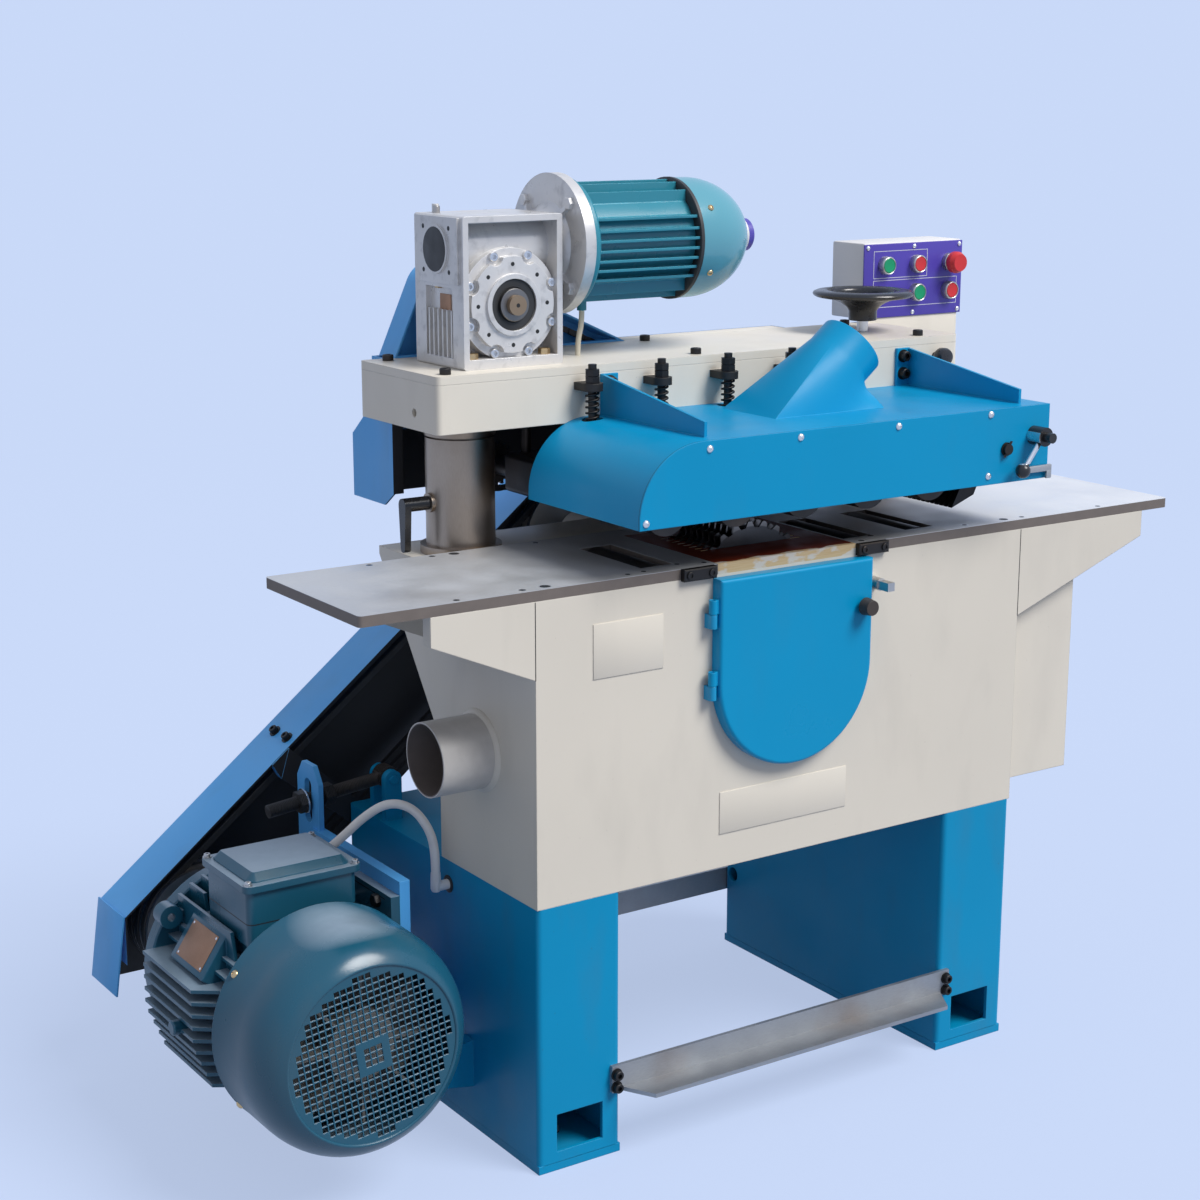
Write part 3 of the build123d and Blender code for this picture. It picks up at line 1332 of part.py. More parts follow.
# Short feed cable from the motor's gland down to the beam's cover plate
cable_end_x = cable_x - 7.0
cable_route = [
    (cable_x, gear_centre_y, gland_drop),
    (cable_x, gear_centre_y, gland_drop - 20.0),
    (cable_end_x, gear_centre_y, gland_drop - 42.0),
    (cable_end_x, gear_centre_y, head_top),
]
cable_radii = corner_radii(cable_route)
print("feed cable bend radii", [round(radius, 1) for radius in cable_radii])
with BuildPart() as feed_cable:
    with BuildLine():
        FilletPolyline(*cable_route, radius=cable_radii)
    with BuildSketch(Plane(origin=cable_route[0], z_dir=Vector(*cable_route[1]) - Vector(*cable_route[0]))):
        Circle(cable_radius)
    sweep()
save("feed_cable", feed_cable)

# Output shaft through the gearbox with the drive sprocket at the back
drive_tip = drive_pitch_radius - chain_thickness / 2 - chain_gap
with BuildPart() as feed_sprocket:
    bar("Y", output_radius, gear_front - 12.0, chain_y + chain_width / 2, (out_x, out_z))
    with BuildSketch(at_y(chain_y + chain_width / 2 - 1.0)):
        toothed(out_x, out_z, drive_tip, drive_tip - tooth_cut, drive_teeth)
    extrude(amount=chain_width - 2.0)
save("feed_sprocket", feed_sprocket)

# Feed chain round the drive sprocket and under the press rollers' sprockets
chain_wheels = [
    (press_xs[0], press_z, press_pitch_radius),
    (press_xs[-1], press_z, press_pitch_radius),
    (out_x, out_z, drive_pitch_radius),
]
with BuildPart() as feed_chain:
    with BuildSketch(at_y(chain_y + chain_width / 2)):
        wrapped(grown(chain_wheels, chain_thickness / 2))
        wrapped(grown(chain_wheels, -chain_thickness / 2), Mode.SUBTRACT)
    extrude(amount=chain_width)
save("feed_chain", feed_chain)

# Chain guard: tapering cover over the drive sprocket, deeper box behind and below the beam
chain_box_low = beam_bottom - chain_box_drop
shoulder_z = chain_box_low + 94.0
cover_right = out_x + chain_guard_cover + 3 * out_rise
cover_wheels = [(chain_guard_left, head_top, 0.0), (cover_right, head_top, 0.0),
                (out_x, out_z, chain_guard_cover)]
end_outline = [
    (chain_box_front, chain_box_low + chain_box_chamfer * 0.7),
    (chain_box_front + chain_box_chamfer, chain_box_low),
    (chain_box_back, chain_box_low), (chain_box_back, shoulder_z),
    (chain_guard_back, beam_bottom + 12.0), (chain_guard_back, head_top),
    (beam_back, head_top), (beam_back, beam_bottom), (chain_box_front, beam_bottom),
]
skin_outline = [
    (chain_box_back, chain_box_low), (chain_box_back, shoulder_z), (chain_guard_back, beam_bottom + 12.0),
    (chain_guard_back, head_top), (chain_guard_back - sheet, head_top),
    (chain_guard_back - sheet, beam_bottom + 12.0 - sheet / 2),
    (chain_box_back - sheet, shoulder_z - sheet / 2), (chain_box_back - sheet, chain_box_low),
]
with BuildPart() as chain_guard:
    with BuildSketch(at_y(chain_guard_back)):
        wrapped(cover_wheels)
    extrude(amount=chain_guard_back - chain_guard_front)
    with BuildSketch(at_y(chain_guard_back - sheet)):
        wrapped(cover_wheels)
        offset(amount=-sheet, kind=Kind.INTERSECTION)
    extrude(amount=chain_guard_back - chain_guard_front - sheet, mode=Mode.SUBTRACT)
    block((chain_guard_left + 2 * sheet, cover_right - 4 * sheet), (beam_back, chain_guard_back - sheet),
          (head_top, head_top + 2 * sheet), Mode.SUBTRACT)
    with BuildSketch(Plane.YZ.offset(chain_box_left)):
        Polygon(*skin_outline, align=None)
    extrude(amount=chain_guard_right - chain_box_left)
    for end_x in (chain_box_left, chain_guard_right - sheet):
        with BuildSketch(Plane.YZ.offset(end_x)):
            Polygon(*end_outline, align=None)
        extrude(amount=sheet)
    block((chain_box_left, chain_box_left + 17.0), (chain_box_front, chain_box_front + sheet),
          (chain_box_low + chain_box_chamfer * 0.7, beam_bottom))
save("chain_guard", chain_guard)

# Hood over the rollers: rounded left end, gussets to the beam and a slanted round dust outlet
outlet_base_x = outlet_left + outlet_width / 2 + outlet_shift
outlet_base = Vector(outlet_base_x, outlet_front + outlet_depth / 2, hood_top + outlet_rise)
outlet_direction = Vector(cos(radians(outlet_angle)), 0, sin(radians(outlet_angle)))
outlet_plane = Plane(origin=outlet_base, x_dir=(0, 1, 0), z_dir=outlet_direction)
lever_hub_z = hood_top - finger_lever_drop
with BuildPart() as hood:
    with BuildSketch(at_y(beam_front)):
        with Locations(((hood_left + hood_right) / 2, (hood_bottom + hood_top) / 2)):
            outside = Rectangle(hood_right - hood_left, hood_height)
        fillet(outside.vertices().group_by(Axis.X)[0].sort_by(Axis.Y)[-1], hood_round)
    extrude(amount=beam_front - hood_front)
    with BuildSketch(at_y(beam_front)):
        with Locations(((hood_left + hood_right) / 2, (hood_bottom + hood_top - sheet) / 2)):
            inside = Rectangle(hood_right - hood_left - 2 * sheet, hood_height - sheet)
        fillet(inside.vertices().group_by(Axis.X)[0].sort_by(Axis.Y)[-1], hood_round - sheet)
    extrude(amount=beam_front - hood_front - sheet, mode=Mode.SUBTRACT)
    block((outlet_left + 8.0, outlet_left + outlet_width - 8.0),
          (outlet_front + 8.0, outlet_front + outlet_depth - 8.0), (hood_top - sheet, hood_top),
          Mode.SUBTRACT)
    for press_x in press_xs:
        bar("Z", spring_outer_radius + 5.0, hood_top - 3 * sheet, hood_top, (press_x, rod_line),
            Mode.SUBTRACT)
    for gusset_x, flange_left in zip(gusset_xs, (gusset_xs[0], gusset_xs[1] - 25.0)):
        with BuildSketch(Plane.YZ.offset(gusset_x - gusset_thickness / 2)):
            Polygon((beam_front, hood_top), (beam_front - gusset_length, hood_top),
                    (beam_front - gusset_length, hood_top + gusset_front),
                    (beam_front, hood_top + gusset_back), align=None)
        extrude(amount=gusset_thickness)
        block((flange_left, flange_left + 25.0), (beam_front - gusset_thickness, beam_front),
              (hood_top, hood_top + gusset_back))
    for wall in (0.0, sheet):
        cut = Mode.ADD if wall == 0 else Mode.SUBTRACT
        with BuildSketch(Plane.XY.offset(hood_top)):
            with Locations((outlet_left + outlet_width / 2, outlet_front + outlet_depth / 2)):
                Rectangle(outlet_width - 2 * wall, outlet_depth - 2 * wall)
        with BuildSketch(outlet_plane):
            Circle(outlet_radius - wall)
        loft(mode=cut)
        with BuildSketch(outlet_plane):
            Circle(outlet_radius - wall)
        extrude(amount=outlet_length, mode=cut)
    bar("Y", finger_hub + 3.0, hood_front, hood_front + 12.0, (finger_x, finger_z))
    block((finger_x - finger_hub, finger_x + finger_hub), (beam_front - 12.0, beam_front - 6.0),
          (finger_z - finger_hub, hood_top - sheet))
    bar("Y", finger_shaft_radius + running_gap, hood_front, beam_front, (finger_x, finger_z), Mode.SUBTRACT)
    bar("Y", finger_shaft_radius + running_gap, hood_front, hood_front + sheet,
        (finger_lever_x, lever_hub_z), Mode.SUBTRACT)
save("hood", hood)

# Anti-kickback fingers in a row on one shaft
finger_ys = [first_finger_y + i * finger_pitch for i in range(finger_count)]
finger_outline = [
    (finger_x - finger_hub, finger_z),
    (finger_x - finger_belly, finger_z - finger_knee),
    (finger_x - finger_toe_run, finger_z - finger_toe_drop),
    (finger_x - finger_heel_run, finger_z - finger_heel_drop),
    (finger_x + finger_back, finger_z - finger_knee),
    (finger_x + finger_hub, finger_z),
]
with BuildPart() as kickback_fingers:
    bar("Y", finger_shaft_radius, hood_front - 7.0, beam_front - 4.0, (finger_x, finger_z))
    for finger_y in finger_ys:
        with BuildSketch(at_y(finger_y + finger_thickness / 2)):
            Polygon(*finger_outline, align=None)
            with Locations((finger_x, finger_z)):
                Circle(finger_hub)
        extrude(amount=finger_thickness)
save("kickback_fingers", kickback_fingers)

# Lever on the hood's front that lifts the fingers
with BuildPart() as finger_lever:
    hub_back = hood_front - moving_gap
    hub_front = hub_back - 26.0
    hub_place = (finger_lever_x, lever_hub_z)
    bar("Y", 14.0, hub_front, hub_back, hub_place)
    bar("Y", 7.5, hub_front - 14.0, hub_front, hub_place)
    bar("Y", finger_shaft_radius, hub_back, hood_front + 10.0, hub_place)
    rod_middle = (hub_front + hub_back) / 2 - 6.0
    lever_plane = Plane(origin=(finger_lever_x, rod_middle, lever_hub_z), x_dir=(0, 1, 0),
                        z_dir=(-finger_lever_run, 0, -finger_lever_fall))
    with BuildSketch(lever_plane):
        Circle(4.0)
    lever_length = hypot(finger_lever_run, finger_lever_fall)
    extrude(amount=lever_length)
    with Locations(lever_plane.offset(lever_length).location):
        Sphere(finger_ball)
save("finger_lever", finger_lever)

# Control box on a bracket plate from the beam, with a separate panel and bezels
plate_y = panel_y + panel_thickness
box_front = plate_y + bracket_thickness
panel_right = panel_left + panel_width
panel_top = panel_bottom + panel_height
button_spots = {
    "start_saw_button": (button_columns[0], button_rows[0]),
    "stop_saw_button": (button_columns[1], button_rows[0]),
    "emergency_stop": (button_columns[2], button_rows[0]),
    "start_feed_button": (button_columns[1], button_rows[1]),
    "stop_feed_button": (button_columns[2], button_rows[1]),
}
button_places = {name: (panel_left + x, panel_bottom + z) for name, (x, z) in button_spots.items()}
with BuildPart() as control_box:
    block((panel_left, panel_right), (box_front, box_front + box_depth), (panel_bottom, panel_top))
    fillet(control_box.edges().filter_by(Axis.Y), bend_radius)
    block((panel_left + box_wall, panel_right - box_wall), (box_front, box_front + box_depth - box_wall),
          (panel_bottom + box_wall, panel_top - box_wall), Mode.SUBTRACT)
    block((panel_left - 8.0, panel_right + 8.0), (plate_y, box_front), (panel_bottom - 4.0, panel_top + 6.0))
    block((beam_right - 40.0, beam_right), (plate_y, box_front), (head_top, panel_bottom))
    block((beam_right - 40.0, beam_right), (box_front, beam_back), (head_top, head_top + bracket_thickness))
    for place in button_places.values():
        bar("Y", button_radius + moving_gap, plate_y, box_front, place, Mode.SUBTRACT)
save("control_box", control_box)

with BuildPart() as control_panel:
    block((panel_left, panel_right), (panel_y, plate_y), (panel_bottom, panel_top))
    for place in button_places.values():
        bar("Y", bezel_radius, panel_y - bezel_depth, panel_y, place)
        bar("Y", button_radius + moving_gap, panel_y - bezel_depth, plate_y, place, Mode.SUBTRACT)
save("control_panel", control_panel)


def push_button(place, mushroom):
    """Button cap that slides in its bezel, with a wide head on the emergency stop."""
    with BuildPart() as button:
        bezel_front = panel_y - bezel_depth
        bar("Y", button_radius, bezel_front - button_travel, box_front + 6.0, place)
        if mushroom:
            head_back = bezel_front - button_travel - moving_gap
            bar("Y", button_radius, head_back - 6.0, bezel_front, place)
            bar("Y", stop_radius - 4.0, head_back - 16.0, head_back - 8.0, place, top_radius=stop_radius)
            bar("Y", stop_radius, head_back - 8.0, head_back, place)
    return button


for name, place in button_places.items():
    save(name, push_button(place, name == "emergency_stop"))
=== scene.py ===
import json
from contextlib import contextmanager
from itertools import product
from math import atan2, cos, hypot, pi, radians, sin, sqrt

import bmesh
import bpy
from bpy.props import FloatProperty, FloatVectorProperty, IntProperty, PointerProperty
from mathutils import Matrix, Vector


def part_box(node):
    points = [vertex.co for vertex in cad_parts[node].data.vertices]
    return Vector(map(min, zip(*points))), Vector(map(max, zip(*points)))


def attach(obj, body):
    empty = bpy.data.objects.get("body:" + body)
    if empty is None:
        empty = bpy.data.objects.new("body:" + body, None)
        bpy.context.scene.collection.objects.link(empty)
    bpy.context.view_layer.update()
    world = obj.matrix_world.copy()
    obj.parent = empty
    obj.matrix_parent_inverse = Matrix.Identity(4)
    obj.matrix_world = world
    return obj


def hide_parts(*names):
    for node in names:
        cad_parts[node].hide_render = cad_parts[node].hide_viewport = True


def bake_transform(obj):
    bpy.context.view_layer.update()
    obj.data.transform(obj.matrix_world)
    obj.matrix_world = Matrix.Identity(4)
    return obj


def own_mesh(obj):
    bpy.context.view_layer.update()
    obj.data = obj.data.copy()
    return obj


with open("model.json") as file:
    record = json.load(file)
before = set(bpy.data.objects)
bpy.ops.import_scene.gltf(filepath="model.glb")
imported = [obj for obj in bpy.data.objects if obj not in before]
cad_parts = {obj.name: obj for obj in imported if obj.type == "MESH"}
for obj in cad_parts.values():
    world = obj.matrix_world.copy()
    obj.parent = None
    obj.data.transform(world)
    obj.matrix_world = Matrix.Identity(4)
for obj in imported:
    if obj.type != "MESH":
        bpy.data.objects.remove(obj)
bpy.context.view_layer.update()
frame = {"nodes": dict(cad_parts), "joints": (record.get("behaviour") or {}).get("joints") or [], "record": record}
NODES = frame["nodes"]
JOINTS = {joint["name"]: joint for joint in frame["joints"]}
MOUNTS = {mount["name"]: mount for mount in frame["record"]["mounts"]}

bl_info = {
    "name": "Multi-rip saw finish",
    "version": (1, 0, 0),
    "blender": (4, 5, 0),
    "location": "View3D > Sidebar > Rip saw",
    "description": "Paint, fittings and studio for the multi-rip saw",
    "category": "Object",
}

MM = 0.001
X, Y, Z = range(3)
UP = Vector((0, 0, 1))
FRONT = Vector((0, -1, 0))
BACK = Vector((0, 1, 0))
LEFT = Vector((-1, 0, 0))
RIGHT = Vector((1, 0, 0))


def lowest(node, axis):
    """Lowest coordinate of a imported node, in millimetres."""
    return round(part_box(node)[0][axis] / MM, 2)


def highest(node, axis):
    """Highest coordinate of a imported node, in millimetres."""
    return round(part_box(node)[1][axis] / MM, 2)


def middle(node, axis):
    """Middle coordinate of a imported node, in millimetres."""
    return (lowest(node, axis) + highest(node, axis)) / 2


def pivot(joint):
    """Point on a joint's axis, in millimetres."""
    return Vector([round(value / MM, 3) for value in JOINTS[joint]["pos_m"]])


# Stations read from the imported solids, in millimetres
TABLE_TOP = highest("table_plate", Z)
BED_FRONT = lowest("pedestals", Y)
BED_BACK = highest("pedestals", Y)
BED_RIGHT = highest("pedestals", X)
BED_LEFT = -BED_RIGHT
PAD_TOP = highest("foot_pads", Z)
CLAMP_FRONT = lowest("clamp_blocks", Y)
CLAMP_Z = middle("clamp_blocks", Z)
BRACE_BACK = highest("cross_braces", Y)
HOOD_FRONT = lowest("hood", Y)
HEAD_TOP = highest("top_plate", Z)
BEAM_FRONT = lowest("top_plate", Y)
BEAM_BACK = highest("top_plate", Y)
BEAM_LOW = lowest("beam", Z)
GUARD_BACK = highest("belt_guard", Y)
PANEL_LEFT = lowest("control_panel", X)
PANEL_LOW = lowest("control_panel", Z)
PANEL_HIGH = highest("control_panel", Z)
PANEL_BACK = highest("control_panel", Y)
FEED_LEFT = lowest("feed_motor", X)
SHAFT_END = lowest("feed_sprocket", Y)
COWL_FRONT = lowest("fan_cowl", Y)
CHAIN_Y = middle("feed_chain", Y)
BELT_Y = middle("drive_belts", Y)
MOTOR_AXIS = pivot("motor_spin")
ARBOR_AXIS = pivot("arbor_spin")
OUT_AXIS = pivot("feed_spin")
FINGER_PIN = pivot("finger_lift")
PRESS_XS = [pivot("roller_%d_spin" % number).x for number in range(1, 6)]
PRESS_Z = pivot("roller_1_spin").z
BELT_SLOPE = atan2(ARBOR_AXIS.z - MOTOR_AXIS.z, ARBOR_AXIS.x - MOTOR_AXIS.x)

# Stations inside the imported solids, and of the pieces made here, in millimetres; the tilt is an angle
DOOR_FRONT = -295.4
PANEL_RIGHT = 683.0
PANEL_FRONT = PANEL_BACK - 2.0
BOX_DEPTH = 81.0
PEDESTAL_INSIDE = 298.0
ROD_LINE = -80.0
SEAT_Z = 985.0
LUG_Z = 1055.0
BLADE_RADIUS = 100.0
BELT_PITCH = 25.0
GEAR_FRONT = -20.0
GEAR_LEFT = -386.5
WORM_AXIS = Vector((0.0, 47.5, 1251.0))
FLANGE_X = -206.5
LID_Z = 429.0
TERMINAL_SEAM = 372.0
TERMINAL_FRONT = -80.0
TERMINAL_BACK = 74.5
FAN_BACK = -150.0
NAMEPLATE_TILT = radians(56)
NAMEPLATE_OUT = 134.0
NAMEPLATE_Y = 40.0
COWL_RADIUS = 159.0
COWL_BACK = -110.0
FEED_COWL_X = 2.0
FEED_COWL_RADIUS = 88.5
OUTLET_LIMIT = 56.0
HOOD_MOUTH = 1014.0
HINGE_RIGHT = -140.0
HINGE_LOW = 620.0
PIPE_LOW = 500.0
PIPE_HIGH = 640.0
PIPE_BORE = 50.5
CHAIN_GUARD_LIP = 1040.0
LEVER_HUB_X = 383.0
LEVER_HUB_Z = 955.0
LEVER_BALL_Z = 934.5


def colour_setting(name, text, value):
    """Colour property with linear values."""
    return FloatVectorProperty(name=name, description=text, subtype="COLOR", size=3, min=0, max=1,
                               default=value)


def length_setting(name, text, value):
    """Length property in millimetres."""
    return FloatProperty(name=name, description=text + ", in millimetres", default=value, min=0.01)


class SawColours(bpy.types.PropertyGroup):
    """Paint and finish colours."""
    hood_blue: colour_setting("Hood blue", "Hood, door and pedestals", (0.0, 0.295, 0.575))
    guard_blue: colour_setting("Guard blue", "Guards and motor plate", (0.095, 0.43, 0.90))
    cream: colour_setting("Cream", "Bed and head beam", (0.72, 0.68, 0.60))
    saw_motor: colour_setting("Saw motor", "Saw motor enamel", (0.009, 0.085, 0.145))
    feed_motor: colour_setting("Feed motor", "Feed motor enamel", (0.03, 0.245, 0.335))
    panel: colour_setting("Panel", "Control panel", (0.075, 0.05, 0.40))
    steel: colour_setting("Steel", "Ground steel", (0.58, 0.59, 0.60))
    board: colour_setting("Board", "Face of the table insert", (0.15, 0.022, 0.008))
    red: colour_setting("Red", "Stop buttons", (0.62, 0.03, 0.035))
    green: colour_setting("Green", "Start buttons", (0.0, 0.30, 0.13))


class SawSizes(bpy.types.PropertyGroup):
    """Sizes of the fittings, in millimetres."""
    hood_screw: length_setting("Hood screw", "Head radius of the hood's screws", 5.5)
    cap_screw: length_setting("Cap screw", "Head radius of the socket screws", 8.0)
    spring_wire: length_setting("Spring wire", "Diameter of the press springs' wire", 3.4)
    spring_radius: length_setting("Spring radius", "Outside radius of the press springs", 10.4)
    spring_turns: IntProperty(name="Spring turns", description="Turns of each press spring", default=8, min=2)
    belt_width: length_setting("Belt width", "Top width of a V-belt", 13.0)
    belt_height: length_setting("Belt height", "Height of a V-belt", 11.0)
    chain_pitch: length_setting("Chain pitch", "Pitch of the feed chain", 15.875)
    grille_pitch: length_setting("Grille pitch", "Pitch of the fan cowl's square holes", 9.4)
    conduit: length_setting("Conduit", "Diameter of the saw motor's conduit", 13.0)
    cable: length_setting("Cable", "Diameter of the feed motor's cable", 8.0)


class SawStage(bpy.types.PropertyGroup):
    """Floor, lights and camera."""
    backdrop: colour_setting("Backdrop", "Floor and background", (0.585, 0.695, 0.94))
    floor: FloatProperty(name="Floor", description="Width of the floor", default=60.0, unit="LENGTH")
    shadow: FloatProperty(name="Shadow", description="Share of the floor that takes shadow", default=0.28)
    bounce: FloatProperty(name="Bounce", description="Share of the floor that lights the object", default=0.3)
    sun: FloatProperty(name="Sun", description="Strength of the key light", default=3.15)
    softness: FloatProperty(name="Softness", description="Angle of the key light", default=radians(28),
                            subtype="ANGLE")
    sky: FloatProperty(name="Sky", description="Strength of the light from all round", default=0.45)
    lens: FloatProperty(name="Lens", description="Focal length of the camera in millimetres", default=66.0)


# Finishes by key, filled when the nodes are painted
FINISH = {}


# Mesh helpers, all in millimetres until a piece is finished

def facing(direction, at):
    """Matrix that turns +Z to a direction and moves it to a point."""
    return Matrix.Translation(Vector(at)) @ UP.rotation_difference(Vector(direction)).to_matrix().to_4x4()


def joined(bm, shape):
    """Add a finished shape to a piece."""
    mesh = bpy.data.meshes.new("shape")
    shape.to_mesh(mesh)
    shape.free()
    bm.from_mesh(mesh)
    bpy.data.meshes.remove(mesh)


def finish_piece(name, bm, finish, body, sharp=35.0):
    """Close a bmesh into a named piece with a finish, which rides on a body where one is given."""
    bmesh.ops.scale(bm, vec=(MM, MM, MM), verts=bm.verts)
    for face in bm.faces:
        face.smooth = True
    for edge in bm.edges:
        edge.smooth = edge.is_manifold and edge.calc_face_angle(0) < radians(sharp)
    mesh = bpy.data.meshes.new(name)
    bm.to_mesh(mesh)
    bm.free()
    mesh.materials.append(FINISH[finish].material)
    obj = bpy.data.objects.new(name, mesh)
    bpy.context.scene.collection.objects.link(obj)
    if body:
        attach(obj, body)
    return obj


@contextmanager
def piece(name, finish, body, slot, sharp=35.0, instead=None):
    """Open a bmesh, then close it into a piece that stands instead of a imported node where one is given."""
    bm = bmesh.new()
    yield bm
    obj = finish_piece(name, bm, finish, body, sharp)
    if instead:
        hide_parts(instead)


def turned(bm, profile, direction, at, steps=32, socket=None):
    """Lathe a profile of (radius, height) about an axis; a socket radius becomes a hexagon's corners."""
    shape = bmesh.new()
    verts = [shape.verts.new((radius, 0, height)) for radius, height in profile]
    edges = [shape.edges.new(pair) for pair in zip(verts, verts[1:])]
    bmesh.ops.spin(shape, geom=verts + edges, cent=(0, 0, 0), axis=(0, 0, 1), angle=2 * pi, steps=steps,
                   use_merge=True, use_duplicate=False)
    bmesh.ops.remove_doubles(shape, verts=shape.verts, dist=1e-4)
    bmesh.ops.recalc_face_normals(shape, faces=shape.faces)
    for vert in shape.verts:
        if socket and abs(hypot(vert.co.x, vert.co.y) - socket) < 1e-3:
            angle = atan2(vert.co.y, vert.co.x) % (pi / 3) - pi / 6
            vert.co.xy *= cos(pi / 6) / cos(angle)
    bmesh.ops.transform(shape, matrix=facing(direction, at), verts=shape.verts)
    joined(bm, shape)


def rod(bm, radius, low, high, direction, at, steps=24):
    """Plain round bar between two heights on an axis."""
    turned(bm, [(0, low), (radius, low), (radius, high), (0, high)], direction, at, steps)


def collar(bm, inner, outer, height, direction, at, steps=24):
    """Plain ring that stands on a point of its axis."""
    turned(bm, [(inner, 0), (outer, 0), (outer, height), (inner, height), (inner, 0)], direction, at, steps)


def block(low, high):
    """New bmesh with a box between two corners."""
    low, high = Vector(low), Vector(high)
    shape = bmesh.new()
    bmesh.ops.create_cube(shape, size=1)
    bmesh.ops.scale(shape, vec=high - low, verts=shape.verts)
    bmesh.ops.translate(shape, vec=(low + high) / 2, verts=shape.verts)
    return shape


def boxed(bm, low, high, bevel=0.0, turn=None):
    """Box between two corners, with an even round on its edges, placed by a matrix where one is given."""
    shape = block(low, high)
    if bevel:
        bmesh.ops.bevel(shape, geom=list(shape.edges), offset=bevel, affect="EDGES", segments=2, profile=0.5,
                        material=-1)
    if turn:
        bmesh.ops.transform(shape, matrix=turn, verts=shape.verts)
    joined(bm, shape)


def hexagon(bm, direction, at, across, height):
    """Hexagon nut or bolt head with its upper corners turned off."""
    radius = across / 2 / cos(pi / 6)
    shape = bmesh.new()
    bmesh.ops.create_cone(shape, cap_ends=True, segments=6, radius1=radius, radius2=radius, depth=height,
                          matrix=Matrix.Translation((0, 0, height / 2)))
    top = [edge for edge in shape.edges if all(vert.co.z > height * 0.9 for vert in edge.verts)]
    bmesh.ops.bevel(shape, geom=top, offset=across * 0.06, affect="EDGES", segments=1, profile=0.5,
                    material=-1)
    bmesh.ops.transform(shape, matrix=facing(direction, at), verts=shape.verts)
    joined(bm, shape)


def cap_screw(bm, direction, at, radius, height=None, washer=0.0):
    """Socket head with a rounded rim and a hexagon recess, on a washer where one is given."""
    height = height or radius * 1.1
    base = 1.6 if washer else 0.0
    if washer:
        rod(bm, washer, 0, base, direction, at)
    rim, socket = radius * 0.14, radius * 0.55
    top = base + height
    floor = top - height * 0.55
    turned(bm, [(0, base), (radius, base), (radius, top - rim), (radius - rim, top), (socket, top),
                (socket, floor), (0, floor)], direction, at, 24, socket)


def pan_screw(bm, direction, at, radius):
    """Low domed head with a round recess for the driver."""
    height = radius * 0.62
    turned(bm, [(0, height * 0.55), (radius * 0.22, height * 0.6), (radius * 0.3, height * 0.97),
                (radius * 0.62, height * 0.8), (radius * 0.88, height * 0.45), (radius, 0.1), (radius, -0.2),
                (0, -0.2)], direction, at, 16)


def drilled(bm, radius, direction, at, steps=16):
    """Dark disc that shows as a hole in the face it lies on: painted shade of the hole's depth."""
    rod(bm, radius, -1, 0.1, direction, at, steps)


def on_ring(centre, radius, angle, axis="Y"):
    """Point on a ring about Y or X through a centre."""
    if axis == "Y":
        return Vector(centre) + Vector((radius * cos(angle), 0, radius * sin(angle)))
    return Vector(centre) + Vector((0, radius * cos(angle), radius * sin(angle)))


# Materials

